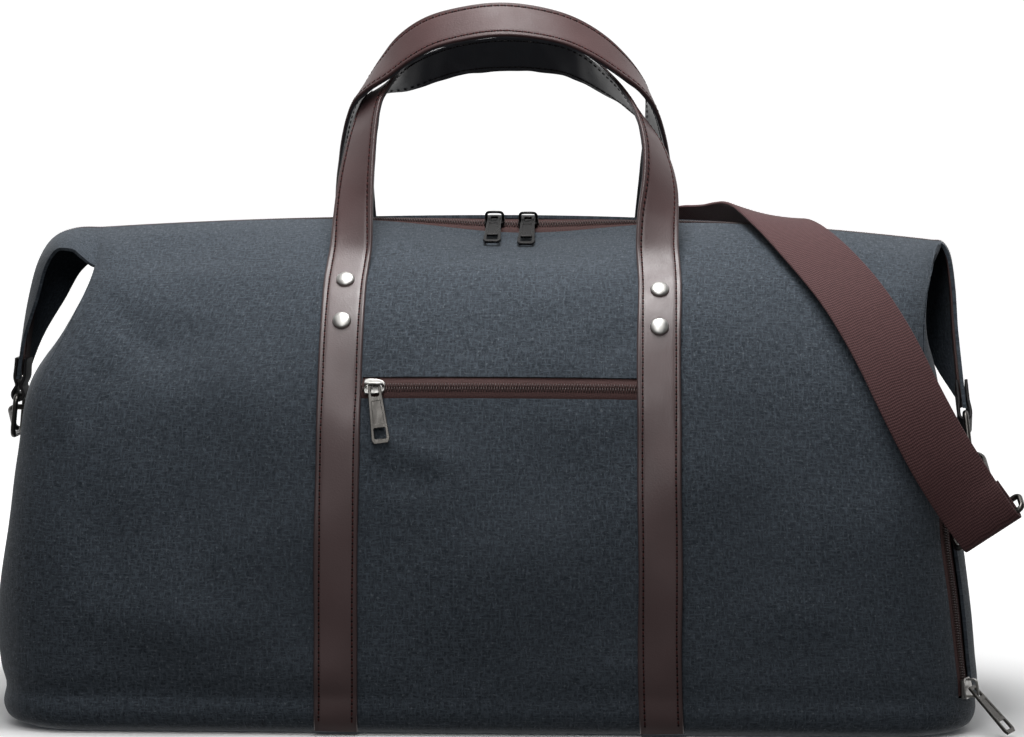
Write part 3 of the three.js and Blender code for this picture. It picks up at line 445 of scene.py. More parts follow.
def sheet_wall(name, grids, flip=False):
    """A cloth wall from grids of points, uvs and cells to keep: outer face, inner face and rim.

    Points that meet are joined.
    """
    verts, uvs, cells = [], [], []
    for grid, tex, keep in grids:
        n, m = grid.shape[:2]
        quads = grid_quads(sum(len(v) for v in verts) + np.arange(n * m).reshape(n, m))
        verts.append(grid.reshape(-1, 3))
        uvs.append(tex.reshape(-1, 2))
        cells.append(quads.reshape(-1, 4) if keep is None else quads[keep])
    verts, uvs, cells = np.concatenate(verts), np.concatenate(uvs), np.concatenate(cells)
    _, first, same = np.unique(np.round(verts, 3), axis=0, return_index=True, return_inverse=True)
    cells = first[same.ravel()][cells]
    used, cells = np.unique(cells, return_inverse=True)
    cells = cells.reshape(-1, 4)
    verts, uvs = verts[used], uvs[used]
    if flip:
        cells = cells[:, ::-1]
    normals = np.zeros_like(verts)
    n = np.cross(verts[cells[:, 2]] - verts[cells[:, 0]], verts[cells[:, 3]] - verts[cells[:, 1]])
    for k in range(4):
        np.add.at(normals, cells[:, k], n)
    normals = unit(normals)
    count = len(verts)
    edges = dict.fromkeys((c[k], c[(k + 1) % 4]) for c in cells.tolist() for k in range(4))
    rim = [(q, p, p + count, q + count) for p, q in edges if (q, p) not in edges]
    faces = cells.tolist() + (cells[:, ::-1] + count).tolist() + rim
    walls = np.concatenate([verts, verts - normals * CANVAS])
    return link(name, walls, faces, np.concatenate([uvs, uvs]), sharp=50)


def frames_of(at, face):
    """Unit directions along, across and out of a strap at each station."""
    along = np.empty_like(at)
    along[1:-1] = at[2:] - at[:-2]
    along[0], along[-1] = at[1] - at[0], at[-1] - at[-2]
    along = unit(along)
    side = unit(np.cross(face, along))
    return along, side, np.cross(along, side)


def resample(at, face, step):
    """Stations spaced evenly along a smooth curve through the given ones."""
    s = distances(at)
    both = np.concatenate([at, unit(face)], 1)
    slope = np.gradient(both, s, axis=0)
    n = max(2, int(round(s[-1] / step)))
    t = np.linspace(0, s[-1], n + 1)
    i = np.clip(np.searchsorted(s, t, "right") - 1, 0, len(s) - 2)
    h = (s[i + 1] - s[i])[:, None]
    f = ((t - s[i]) / h[:, 0])[:, None]
    a, b, ma, mb = both[i], both[i + 1], slope[i] * h, slope[i + 1] * h
    p = (2 * f**3 - 3 * f**2 + 1) * a + (f**3 - 2 * f**2 + f) * ma
    p = p + (3 * f**2 - 2 * f**3) * b + (f**3 - f**2) * mb
    return p[:, :3], unit(p[:, 3:]), t


def skin(rings, sides, closed=False):
    """Faces over rings of points: with both ends filled, or joined from the last ring to the first."""
    ids = np.arange(rings * sides).reshape(rings, sides)
    nxt = np.roll(ids, -1, 1)
    if closed:
        walls = np.stack([ids, nxt, np.roll(nxt, -1, 0), np.roll(ids, -1, 0)], -1)
        return walls.reshape(-1, 4).tolist()
    walls = np.stack([ids[:-1], nxt[:-1], nxt[1:], ids[1:]], -1)
    return walls.reshape(-1, 4).tolist() + [ids[0, ::-1].tolist(), ids[-1].tolist()]


def sweep(name, at, face, section, shape=None, sharp=40):
    """A strap of a closed section of points (across, out); shape may move them station by station."""
    _, side, out = frames_of(at, face)
    local = np.repeat(np.asarray(section, float)[None], len(at), 0)
    if shape is not None:
        local = shape(local)
    m = len(section)
    verts = at[:, None] + side[:, None] * local[..., :1] + out[:, None] * local[..., 1:]
    uv = np.stack([local[..., 0], np.repeat(distances(at)[:, None], m, 1)], -1)
    return link(name, verts.reshape(-1, 3), skin(len(at), m), uv.reshape(-1, 2), sharp=sharp)


def circle(sides):
    return np.arange(sides) * 2 * math.pi / sides


def beads(name, centres, along, out, sizes, rings, sides):
    """Many small rounded bodies, such as stitches or zip teeth, in one mesh; sizes along, across and out."""
    along, out = unit(along), unit(out)
    lat = np.linspace(-math.pi / 2, math.pi / 2, rings + 1)[1:-1]
    ball = [(-1, 0, 0)]
    for a in lat:
        ball += [(math.sin(a), math.cos(a) * math.cos(b), math.cos(a) * math.sin(b)) for b in circle(sides)]
    ball = np.array([*ball, (1, 0, 0)])
    k = len(ball)
    faces = []
    for j in range(sides):
        nxt = (j + 1) % sides
        faces.append((0, 1 + nxt, 1 + j))
        for a in range(1, k - 1 - sides, sides):
            faces.append((a + j, a + nxt, a + sides + nxt, a + sides + j))
        faces.append((k - 1 - sides + j, k - 1 - sides + nxt, k - 1))
    v = centres[:, None]
    for way, size, share in zip((along, np.cross(out, along), out), sizes, ball.T):
        v = v + way[:, None] * (size * share)[None, :, None]
    everything = [tuple(i * k + q for q in f) for i in range(len(centres)) for f in faces]
    return link(name, v.reshape(-1, 3), everything)


def tube(points, radius, sides, closed=False):
    """Points and faces of a round wire."""
    p = np.asarray(points, float)
    n = len(p)
    t = unit(np.roll(p, -1, 0) - np.roll(p, 1, 0) if closed else np.gradient(p, axis=0))
    u = np.zeros_like(p)
    u[0] = unit(np.cross(t[0], (0.31, 0.52, 0.79)))
    for i in range(1, n):
        u[i] = unit(u[i - 1] - t[i] * np.dot(u[i - 1], t[i]))
    w = np.cross(t, u)
    if closed:
        last = u[-1] - t[0] * np.dot(u[-1], t[0])
        off = math.atan2(np.dot(np.cross(last, u[0]), t[0]), np.dot(last, u[0]))
        a = (off * np.arange(n) / n)[:, None]
        u, w = u * np.cos(a) + w * np.sin(a), w * np.cos(a) - u * np.sin(a)
    b = circle(sides)[None, :, None]
    verts = p[:, None] + radius * (u[:, None] * np.cos(b) + w[:, None] * np.sin(b))
    return verts.reshape(-1, 3), skin(n, sides, closed)


def together(name, parts, sharp=35):
    """One object from several lists of points and faces."""
    verts, faces, count = [], [], 0
    for v, f in parts:
        verts.append(np.asarray(v, float))
        faces += [tuple(count + i for i in q) for q in f]
        count += len(v)
    return link(name, np.concatenate(verts), faces, sharp=sharp)


# Materials.
class Nodes:
    """A node tree with short ways to add nodes."""

    def __init__(self, tree):
        self.tree = tree

    def put(self, socket, value):
        if isinstance(value, bpy.types.NodeSocket):
            self.tree.links.new(value, socket)
        else:
            socket.default_value = value

    def node(self, kind, inputs=(), **settings):
        """A node with the given settings, and values or links for pairs of inputs."""
        n = self.tree.nodes.new("ShaderNode" + kind)
        for key, value in settings.items():
            setattr(n, key, value)
        for key, value in dict(inputs).items():
            self.put(n.inputs[key], value)
        return n

    def maths(self, operation, a, b=0.0):
        return self.node("Math", {0: a, 1: b}, operation=operation).outputs[0]

    def plus(self, a, b):
        return self.maths("ADD", a, b)

    def times(self, a, b):
        return self.maths("MULTIPLY", a, b)

    def scaled(self, coords, *scale):
        return self.node("Mapping", {"Scale": scale, "Vector": coords}).outputs[0]

    def noise(self, coords, scale, detail=2.0, rough=0.5):
        inputs = {"Vector": coords, "Scale": scale, "Detail": detail, "Roughness": rough}
        return self.node("TexNoise", inputs).outputs["Fac"]

    def ramp(self, value, low, high, a=0.0, b=1.0):
        inputs = {"From Min": low, "From Max": high, "To Min": a, "To Max": b, "Value": value}
        return self.node("MapRange", inputs).outputs[0]

    def mix(self, share, a, b):
        """A colour between two: inputs 6 and 7 and output 2 of the node are its colour sockets."""
        return self.node("Mix", {0: share, 6: a, 7: b}, data_type="RGBA").outputs[2]

    def bump(self, height, strength, distance):
        inputs = {"Height": height, "Strength": strength, "Distance": distance}
        return self.node("Bump", inputs).outputs["Normal"]

    def coords(self, kind):
        return self.node("TexCoord").outputs[kind]

    def split(self, vector):
        return self.node("SeparateXYZ", {"Vector": vector}).outputs


class Look(Nodes):
    """A material."""

    def __init__(self, name):
        self.material = bpy.data.materials.new(name)
        self.material.use_nodes = True
        super().__init__(self.material.node_tree)

    def set(self, **sockets):
        for key, value in sockets.items():
            self.put(self.tree.nodes["Principled BSDF"].inputs[key.replace("_", " ")], value)
        return self.material


def rgb(r, g, b):
    return (r, g, b, 1.0)


def canvas_look(name):
    look = Look(name)
    uv = look.coords("UV")
    warp = look.noise(look.scaled(uv, 760, 190, 1), 1.0, 3.0, 0.7)
    weft = look.noise(look.scaled(uv, 210, 820, 1), 1.0, 3.0, 0.7)
    thread = look.maths("MAXIMUM", warp, weft)
    speck = look.ramp(look.noise(look.scaled(uv, 620, 520, 1), 1.0, 1.0, 0.5), 0.62, 0.76)
    cloud = look.noise(look.coords("Object"), 12.0, 3.0, 0.55)
    shade = look.mix(look.ramp(thread, 0.42, 0.72), rgb(0.013, 0.019, 0.026), rgb(0.077, 0.094, 0.116))
    shade = look.mix(look.times(speck, 0.55), shade, rgb(0.15, 0.17, 0.19))
    shade = look.mix(look.ramp(cloud, 0.35, 0.7, 0.0, 0.25), shade, rgb(0.045, 0.056, 0.070))
    return look.set(
        Base_Color=shade, Roughness=0.85, Normal=look.bump(thread, 0.6, 0.0007),
        Sheen_Weight=0.08, Sheen_Roughness=0.5, Specular_IOR_Level=0.3,
    )


# The duller middle of the handles, in metres along the strap.
GRIP = {"middle": 0.49, "from": 0.09, "to": 0.17, "shine": 0.28}


def leather_look(name, low, high, rough, shine=0.9, edge=None):
    look = Look(name)
    place = look.coords("Object")
    grain = look.node("TexVoronoi", {"Vector": place, "Scale": 900.0}).outputs["Distance"]
    fine = look.noise(place, 1400.0, 2.0, 0.6)
    shade = look.mix(look.ramp(look.noise(place, 14.0, 4.0, 0.55), 0.34, 0.68), low, high)
    if edge:
        across, along, _ = look.split(look.coords("UV"))
        # Darker, redder edges: edge paint, and painted shade where the crowned strap's highlight falls off
        # toward its edges.
        edge_paint_and_shade = look.ramp(look.maths("ABSOLUTE", across), 0.0082, 0.0122, 0.0, 0.85)
        shade = look.mix(edge_paint_and_shade, shade, edge)
        from_grip = look.maths("ABSOLUTE", look.maths("SUBTRACT", along, GRIP["middle"]))
        shine = look.ramp(from_grip, GRIP["from"], GRIP["to"], GRIP["shine"], shine)
    pores = look.bump(look.plus(look.times(grain, 0.6), look.times(fine, 0.4)), 0.22, 0.0003)
    gloss = look.ramp(look.noise(place, 60.0, 3.0, 0.6), 0.3, 0.7, rough - 0.05, rough + 0.07)
    return look.set(Base_Color=shade, Roughness=gloss, Normal=pores, Specular_IOR_Level=shine)


def webbing_look(name):
    look = Look(name)
    uv = look.coords("UV")
    across, along, _ = look.split(uv)
    zig = look.maths("ABSOLUTE", look.maths("SUBTRACT", look.maths("FRACT", look.times(across, 78.9)), 0.5))
    twill = look.maths("SINE", look.plus(look.times(along, 2 * math.pi / 0.0016), look.times(zig, 5.0)))
    rib = look.maths("SINE", look.times(across, 2 * math.pi / 0.0011))
    yarn = look.noise(look.scaled(uv, 1200, 240, 1), 1.0, 2.0, 0.6)
    height = look.plus(look.times(twill, 0.42), look.plus(look.times(rib, 0.2), look.times(yarn, 0.9)))
    shade = look.mix(look.ramp(height, -0.1, 1.0), rgb(0.042, 0.018, 0.019), rgb(0.110, 0.050, 0.051))
    return look.set(
        Base_Color=shade, Roughness=0.78, Normal=look.bump(height, 0.4, 0.0004),
        Sheen_Weight=0.06, Sheen_Roughness=0.45, Specular_IOR_Level=0.25,
    )


def zip_look(name, low, high, rough):
    look = Look(name)
    yarn = look.noise(look.scaled(look.coords("UV"), 900, 2200, 1), 1.0, 2.0, 0.6)
    shade = look.mix(look.ramp(yarn, 0.35, 0.7), low, high)
    return look.set(Base_Color=shade, Roughness=rough, Normal=look.bump(yarn, 0.4, 0.0003))


def metal_look(name, colour, rough, scratch):
    look = Look(name)
    place = look.coords("Object")
    brush = look.noise(look.scaled(place, 400, 400, 60), 1.0, 3.0, 0.6)
    gloss = look.ramp(brush, 0.3, 0.7, rough * 0.75, rough * 1.35)
    cloud = look.ramp(look.noise(place, 90.0, 3.0, 0.6), 0.35, 0.7)
    tone = look.mix(cloud, colour, rgb(*[c * 0.86 for c in colour[:3]]))
    return look.set(Base_Color=tone, Metallic=1.0, Roughness=gloss, Normal=look.bump(brush, scratch, 0.0001))


def thread_look(name, low, high):
    look = Look(name)
    tone = look.mix(look.ramp(look.noise(look.coords("Object"), 700.0, 1.0, 0.5), 0.35, 0.65), low, high)
    return look.set(Base_Color=tone, Roughness=0.9, Specular_IOR_Level=0.15)


CLOTH = canvas_look("canvas")
# The brown leather's last colour is the edge paint with painted shade at the strap's edges.
BROWN = leather_look(
    "brown_leather", rgb(0.056, 0.030, 0.030), rgb(0.084, 0.047, 0.047), 0.45, 0.8, rgb(0.040, 0.018, 0.018),
)
LINING = leather_look("dark_lining", rgb(0.008, 0.006, 0.008), rgb(0.015, 0.011, 0.014), 0.42)
BLACK = leather_look("dark_leather", rgb(0.008, 0.007, 0.008), rgb(0.017, 0.015, 0.016), 0.55, 0.3)
WEB = webbing_look("webbing")
TAPE = zip_look("zip_tape", rgb(0.044, 0.017, 0.016), rgb(0.100, 0.046, 0.042), 0.8)
COIL = zip_look("zip_coil", rgb(0.030, 0.016, 0.015), rgb(0.070, 0.040, 0.037), 0.45)
NICKEL = metal_look("nickel", rgb(0.50, 0.49, 0.47), 0.38, 0.05)
GUN = metal_look("gunmetal", rgb(0.095, 0.090, 0.084), 0.30, 0.12)
# A darker copy of the gunmetal: painted shade for the top sliders and pulls, which hang in shadow over the
# front.
SHADED_GUNMETAL = metal_look("shaded_gunmetal", rgb(0.028, 0.027, 0.027), 0.30, 0.10)
THREAD = thread_look("thread_brown", rgb(0.036, 0.010, 0.010), rgb(0.070, 0.022, 0.020))
# Near-black beads that stand for the stitch holes: painted shade of the holes.
HOLE_SHADE = thread_look("stitch_hole_shade", rgb(0.006, 0.003, 0.003), rgb(0.010, 0.005, 0.005))
DARK_THREAD = thread_look("thread_dark", rgb(0.012, 0.011, 0.011), rgb(0.03, 0.027, 0.027))


# Canvas walls.
def across_at(x, level):
    side = -1 if x < 0 else 1
    return x / abs(2 * side_point(-1, side * 0.5, level, False)[0])


# Distance up the front at each level, for the weave.
LEVELS = np.linspace(0, TOP_LEVEL, 601)
RUN = distances(side_point(-1, 0.3, LEVELS, False))


def level_rows(first, last, step, marks=()):
    """Levels spaced evenly up the front, with rows at the marks and none too near them."""
    run = np.interp([first, last], LEVELS, RUN)
    even = np.interp(np.linspace(*run, int((run[1] - run[0]) / step) + 1), RUN, LEVELS)
    clear = MARK_CLEAR["level"]
    return np.union1d([r for r in even if all(abs(r - m) >= clear for m in marks)], [*marks])


CLOTH_STEP = 3.4
POCKET_RISE = 41.0  # Millimetres to a level at the pocket.
SLOT_HALF = ZIP["slot"] / 2 / POCKET_RISE
SLOT_LEVELS = (POCKET["level"] - SLOT_HALF, POCKET["level"] + SLOT_HALF)
SLOT_ENDS = tuple(across_at(POCKET[k], POCKET["level"]) for k in ("from", "to"))
SIDE_EDGE = 0.9999
SIDE_LENGTH = 560
SIDE_HALF = 262
WING_LENGTH = 110
MARK_CLEAR = {"level": 0.03, "across": 0.004}  # Rows of points keep this far from the pocket's edges.


def side_wall(name, face):
    rows = level_rows(SEAM_LEVEL, TOP_LEVEL, CLOTH_STEP, (CROTCH_LEVEL, *SLOT_LEVELS)[:3 if face < 0 else 1])
    body = np.linspace(-1, 1, int(SIDE_LENGTH / CLOTH_STEP) + 1)
    if face < 0:
        ends = np.array(SLOT_ENDS) / SIDE_EDGE
        body = np.union1d([a for a in body if min(abs(a - ends)) > MARK_CLEAR["across"]], ends)
    body = body * SIDE_EDGE
    shares = np.linspace(0, 1, int(WING_LENGTH / CLOTH_STEP) + 1)[1:]
    wing_rows = np.maximum(rows, CROTCH_LEVEL)
    points = np.concatenate([
        wing_point(face, -1, *np.meshgrid(shares[::-1], wing_rows, indexing="ij")),
        side_point(face, *np.meshgrid(body, rows, indexing="ij")),
        wing_point(face, 1, *np.meshgrid(shares, wing_rows, indexing="ij")),
    ])
    n = len(shares)
    keep = np.ones((len(points) - 1, len(rows) - 1), bool)
    low = rows[:-1] < CROTCH_LEVEL - 1e-6
    keep[:n, low] = False
    keep[len(points) - 1 - n:, low] = False
    if face < 0:
        holes = []
        for line, (start, stop) in ((body, SLOT_ENDS), (rows, SLOT_LEVELS)):
            middle = (line[:-1] + line[1:]) / 2
            holes.append((middle > start) & (middle < stop))
        keep[n:n + len(body) - 1] &= ~np.outer(*holes)
    wing = SIDE_HALF + WING_LENGTH * shares
    along = np.concatenate([-wing[::-1], body * SIDE_HALF, wing])
    uv = np.stack(np.meshgrid(along, np.interp(rows, LEVELS, RUN), indexing="ij"), -1)
    return sheet_wall(name, [(points, uv, keep)], flip=face > 0)


def canvas_piece(obj, node):
    finish_piece(obj, CLOTH, [node])


canvas_piece(side_wall("front_canvas", -1), "front_panel")
canvas_piece(side_wall("back_canvas", 1), "back_panel")


def end_reach(level):
    fold = spline(SECTIONS, level)[..., 6]
    return 0.9995 - 0.00003 * np.maximum(0, fold) ** 2


END_SPREAD = 120
END_SHIFT = 900


def end_grid(side, across, level):
    """Points and uvs of an end panel."""
    uv = np.stack([across * END_SPREAD + END_SHIFT * side, np.interp(level, LEVELS, RUN)], -1)
    return end_point(side, across, level), uv, None


def tuck_grid(side, across):
    """The strip of an end panel that turns in under the roof."""
    edge = end_point(side, across, np.full(across.shape, float(CROTCH_LEVEL)))
    rows = [edge]
    for up, inward, narrow in TUCK:
        rows.append(np.stack([edge[:, 0] - side * inward, edge[:, 1] * narrow, edge[:, 2] + up], -1))
    uv = np.stack(np.meshgrid(across * END_SPREAD + END_SHIFT * side, (330, 340, 349), indexing="ij"), -1)
    return np.stack(rows, 1), uv, None


def left_wall():
    share = np.linspace(-1, 1, 72)
    s, level = np.meshgrid(share, level_rows(SEAM_LEVEL, CROTCH_LEVEL, CLOTH_STEP), indexing="ij")
    edge = share * end_reach(np.array(float(CROTCH_LEVEL)))
    grids = [end_grid(-1, s * end_reach(level), level), tuck_grid(-1, edge)]
    return sheet_wall("left_end_canvas", grids, flip=True)


canvas_piece(left_wall(), "left_end_panel")

# The arched zip of the right end.
END_PATH = np.concatenate([END_ZIP, END_ZIP[-2::-1] * (-1, 1)])


def end_line(across, level):
    return end_point(1, across, level, False)


def end_edge(path, offset):
    """The zip's line in across and level, moved sideways along the cloth by offset."""
    a, l = path.T
    _, side, _ = frames_of(end_line(a, l), normal_of(end_line, a, l))
    h = 0.004
    pu = (end_line(a + h, l) - end_line(a - h, l)) / (2 * h)
    pv = (end_line(a, l + h) - end_line(a, l - h)) / (2 * h)
    moved = np.empty_like(path)
    for i in range(len(path)):
        step, *_ = np.linalg.lstsq(np.stack([pu[i], pv[i]], 1), side[i] * offset, rcond=None)
        moved[i] = path[i] + step
    moved[[0, -1], 1] = SEAM_LEVEL
    return moved


def fan_wall(name, start, stop, count, flip):
    """A wall of the right end between two lines in across and level."""
    t = np.linspace(0, 1, count)[None, :, None]
    fan = start[:, None] * (1 - t) + stop[:, None] * t
    return sheet_wall(name, [end_grid(1, fan[..., 0], fan[..., 1])], flip)


def right_walls():
    """The door inside the zip, and the panel round it up to the seams."""
    path = spline(END_PATH, np.linspace(0, len(END_PATH) - 1, 111))
    path = np.concatenate([[(path[0][0], SEAM_LEVEL)], path, [(path[-1][0], SEAM_LEVEL)]])
    outer, inner = (end_edge(path, way * ZIP["slot"] / 2) for way in (1, -1))
    count = len(path)
    foot = np.stack([np.linspace(inner[0][0], inner[-1][0], count), np.full(count, SEAM_LEVEL)], -1)
    share, corners = np.linspace(0, 1, count), [0, 0.40, 0.60, 1]
    level = np.interp(share, corners, [SEAM_LEVEL, CROTCH_LEVEL, CROTCH_LEVEL, SEAM_LEVEL])
    rim = np.stack([np.interp(share, corners, [-1, -1, 1, 1]) * end_reach(level), level], -1)
    canvas_piece(fan_wall("end_door_canvas", foot, inner, 40, True), "right_end_door")
    canvas_piece(fan_wall("right_end_canvas", outer, rim, 34, False), "right_end_panel")


right_walls()


def base_wall():
    a = np.linspace(-1, 1, 121)
    b = np.linspace(-1, 1, 51)
    rows = np.concatenate([np.linspace(0, 2, 9), np.linspace(2, SEAM_LEVEL, 5)[1:]])

    def ring(level):
        level = np.array(level)
        return np.concatenate([
            side_point(-1, a[:-1], level),
            end_point(1, b[:-1], level),
            side_point(1, a[:0:-1], level),
            end_point(-1, b[:0:-1], level),
        ])

    rim = np.stack([ring(r) for r in rows], 1)
    floor = ring(0)
    spine = np.stack([np.clip(floor[:, 0], -180, 170), np.zeros(len(floor)), np.zeros(len(floor))], -1)
    t = np.linspace(1, 0, 12)[:-1]
    flat = np.stack([spine * k + floor * (1 - k) for k in t], 1)
    grid = np.concatenate([flat, rim], 1)
    grid = np.concatenate([grid, grid[:1]])
    around = distances(np.concatenate([floor, floor[:1]]))
    out = np.concatenate([-120 * t, np.interp(rows, LEVELS, RUN)])
    uv = np.stack(np.meshgrid(around, out, indexing="ij"), -1)
    return sheet_wall("base_canvas", [(grid, uv, None)])


canvas_piece(base_wall(), "base_panel")

# Zips: a tape that dips under the canvas on both sides and two rows of coil.
TAPE_SECTION = [
    (-8.2, -3.2), (8.2, -3.2), (8.2, -2.6), (6.9, -2.5), (5.6, -1.0), (2.6, -0.8),
    (0, -0.75), (-2.6, -0.8), (-5.6, -1.0), (-6.9, -2.5), (-8.2, -2.6),
]
TAPE_STEP = 2.5
TEETH = {"pitch": 0.75, "apart": 1.15, "sunk": 0.35, "sizes": (1.55, 0.52, 0.95)}


def zip_piece(name, at, face, nodes):
    at, face, _ = resample(at, face, TAPE_STEP)
    finish_piece(sweep(name, at, face, TAPE_SECTION, sharp=60), TAPE, nodes)
    at, face, _ = resample(at, face, TEETH["pitch"])
    _, side, out = frames_of(at, face)
    shift = np.where(np.arange(len(at)) % 2 == 0, TEETH["apart"], -TEETH["apart"])
    centres = at + side * shift[:, None] + out * (-TEETH["sunk"])
    teeth = beads(name + "_coil", centres[1:-1], side[1:-1], out[1:-1], TEETH["sizes"], 4, 6)
    finish_piece(teeth, COIL)


def on_side(face, x, level, rise, soft=False):
    u = across_at(x, level)
    normal = normal_of(lambda p, q: side_point(face, -face * p, q, soft), -face * u, level)
    return side_point(face, u, level, soft) + normal * rise, normal


def columns(stations):
    """Pairs of place and facing as two arrays."""
    return [np.array(column) for column in zip(*stations)]


places = np.linspace(POCKET["from"] - 1.5, POCKET["to"] + 1.5, 60)
zip_piece("pocket_zip_tape", *columns(on_side(-1, x, POCKET["level"], 0) for x in places), ["pocket_zip"])


def ridge_station(across):
    f, b = (side_point(face, across, TOP_LEVEL, False) for face in (-1, 1))
    return (f + b) / 2, unit((0, f[2] - b[2], b[1] - f[1]))


ridge = columns(ridge_station(u) for u in np.linspace(-SEAM_SHARE, SEAM_SHARE, 90))
left, right = (wing_frame(side, np.linspace(0.03, WING_SHARE_ZIP, 30)) for side in (-1, 1))
top = [np.concatenate([left[k][::-1], middle, right[k]]) for k, middle in zip(("at", "up"), ridge)]
zip_piece("top_zip_tape", *top, ["top_zip"])

line = spline(END_PATH, np.linspace(0, len(END_PATH) - 1, 90)).T
end_face = normal_of(lambda u, v: end_point(1, u, v), *line)
zip_piece("end_zip_tape", end_point(1, *line), end_face, ["end_zip"])


# Sliders and pulls.
def moved(part, matrix):
    v, f = part
    v = np.asarray(v, float)
    return v @ matrix[:3, :3].T + matrix[:3, 3], f


def plate(outline, holes, low, high, bevel):
    """A flat piece with holes and softened edges, from Blender's own filled curve; sizes in millimetres."""
    curve = bpy.data.curves.new("plate", "CURVE")
    curve.dimensions = "2D"
    curve.fill_mode = "BOTH"
    curve.extrude = max(0.01, (high - low) / 2 - bevel)
    curve.bevel_depth = bevel
    curve.bevel_resolution = 2
    curve.offset = -bevel
    for loop in [outline, *holes]:
        spl = curve.splines.new("POLY")
        spl.points.add(len(loop) - 1)
        for point, (x, y) in zip(spl.points, loop):
            point.co = (x, y, 0, 1)
        spl.use_cyclic_u = True
    obj = bpy.data.objects.new("plate", curve)
    bpy.context.scene.collection.objects.link(obj)
    bpy.context.view_layer.update()
    mesh = bpy.data.meshes.new_from_object(obj.evaluated_get(bpy.context.evaluated_depsgraph_get()))
    verts = np.array([v.co for v in mesh.vertices])
    verts[:, 2] += (low + high) / 2
    faces = [tuple(p.vertices) for p in mesh.polygons]
    bpy.data.objects.remove(obj)
    bpy.data.curves.remove(curve)
    bpy.data.meshes.remove(mesh)
    return verts, faces


def round_box(cx, cy, half_x, half_y, radius, steps):
    """Points round a box with round corners."""
    points = []
    for sx, sy, start in ((1, 1, 0), (-1, 1, 90), (-1, -1, 180), (1, -1, 270)):
        for k in range(steps + 1):
            t = math.radians(start + 90 * k / steps)
            x = cx + sx * (half_x - radius) + radius * math.cos(t)
            points.append((x, cy + sy * (half_y - radius) + radius * math.sin(t)))
    return points


PULL_OUTLINE = [
    (2.7, 1.0), (-2.7, 1.0), (-3.5, 0.2), (-3.75, -3.5), (-4.1, -9), (-5.25, -31.6),
    (-4.0, -34), (4.0, -34), (5.25, -31.6), (4.1, -9), (3.75, -3.5), (3.5, 0.2),
]
PULL_SUNK = [(2.35, -9.4), (-2.35, -9.4), (-3.05, -22.6), (3.05, -22.6)]
PULL_FLOOR = [(2.7, -9.0), (-2.7, -9.0), (-3.4, -23.0), (3.4, -23.0)]
SLIDER_CROWN = [
    (-6, 3.2), (-5.2, 4.4), (-2, 4.6), (2.5, 4.2), (5.0, 3.3), (6, 2.2),
    (6, -2.2), (5.0, -3.3), (2.5, -4.2), (-2, -4.6), (-5.2, -4.4), (-6, -3.2),
]
BRIDGE = [
    (-5, 0, 2.9), (-5, 0, 5.4), (-4.85, 0, 7.4), (-3.7, 0, 8.8), (0, 0, 9.1),
    (3.7, 0, 8.8), (4.85, 0, 7.4), (5, 0, 5.4), (5, 0, 2.9),
]


def pull_parts():
    """The pull: an eye round the bridge, a narrow waist, a sunk middle and an open window at its foot."""
    eye = round_box(0, -3.9, 2.2, 2.9, 1.1, 5)
    window = round_box(0, -28.2, 3.3, 3.2, 0.7, 5)
    rim = plate(PULL_OUTLINE, [eye, PULL_SUNK, window], -0.8, 0.8, 0.28)
    return [rim, plate(PULL_FLOOR, [], -0.45, 0.45, 0.05)]


def slider_parts():
    """The slider: a shield-shaped crown over the coil, two cheeks and the bridge for the pull."""
    parts = [plate(SLIDER_CROWN, [], 1.85, 3.4, 0.45)]
    for s in (1, -1):
        cheek = [(-5.6, s * 4.5), (5.0, s * 3.5), (5.0, s * 3.25), (-5.6, s * 3.25)][::s]
        parts.append(plate(cheek, [], 0.45, 2.2, 0.12))
    wire, faces = tube(spline(BRIDGE, np.linspace(0, len(BRIDGE) - 1, 49)), 0.8, 12)
    wire[:, 1] *= 0.85
    return [*parts, (wire, faces)]


def slider_frame(at, face, travel):
    x = unit(travel - face * np.dot(travel, face))
    m = np.eye(4)
    m[:3, 0], m[:3, 1], m[:3, 2], m[:3, 3] = x, np.cross(face, x), face, at
    return m


def add_slider(slider, pull, at, face, travel, turn, dip, metal, pull_metal, slot):
    m = slider_frame(at, face, np.asarray(travel, float))
    obj = together(slider + "_metal", [moved(p, m) for p in slider_parts()], sharp=40)
    finish_piece(obj, metal, [slider])
    swing = np.eye(4)
    swing[:3, :3] = np.array(Matrix.Rotation(turn, 3, "Z") @ Matrix.Rotation(math.radians(dip), 3, "X"))
    swing[2, 3] = PULL_PIVOT
    obj = together(pull + "_metal", [moved(p, m @ swing) for p in pull_parts()], sharp=40)
    finish_piece(obj, pull_metal, [pull], pull)


for name in ("left", "right"):
    at, face = ridge_station(across_at(TOP_PULLS[name], TOP_LEVEL))
    at = at - face * ZIP["recess"]
    names = ["top_slider_" + name, "top_pull_" + name]
    # The top slider and pull wear the darker gunmetal with painted shade.
    add_slider(*names, at, face, (1, 0, 0), 0.0, TOP_PULLS["dip"], SHADED_GUNMETAL, SHADED_GUNMETAL, "gunmetal")
at, face = on_side(-1, POCKET_PULL["x"], POCKET["level"], -ZIP["recess"])
turn, dip = math.radians(POCKET_PULL["tilt"]), POCKET_PULL["dip"]
add_slider("pocket_slider", "pocket_pull", at, face, (1, 0, 0), turn, dip, NICKEL, GUN, "nickel")
across, level = END_ZIP[0][0], END_PULL["level"]
face = normal_of(end_line, across, level)
at = end_line(across, level)
travel = end_line(across, level + 0.1) - at
at = at - face * ZIP["recess"]
add_slider("end_slider", "end_pull", at, face, travel, -math.pi / 2, -END_PULL["lift"], NICKEL, GUN, "nickel")


# Handles.
def leg_station(face, side, level, rise):
    share = (level - LEG["foot_level"]) / (LEG["leave_level"] - LEG["foot_level"])
    x = side * (LEG["foot_x"] + (LEG["leave_x"] - LEG["foot_x"]) * share)
    return on_side(face, x + LEG["front" if face < 0 else "back"], level, rise, True)


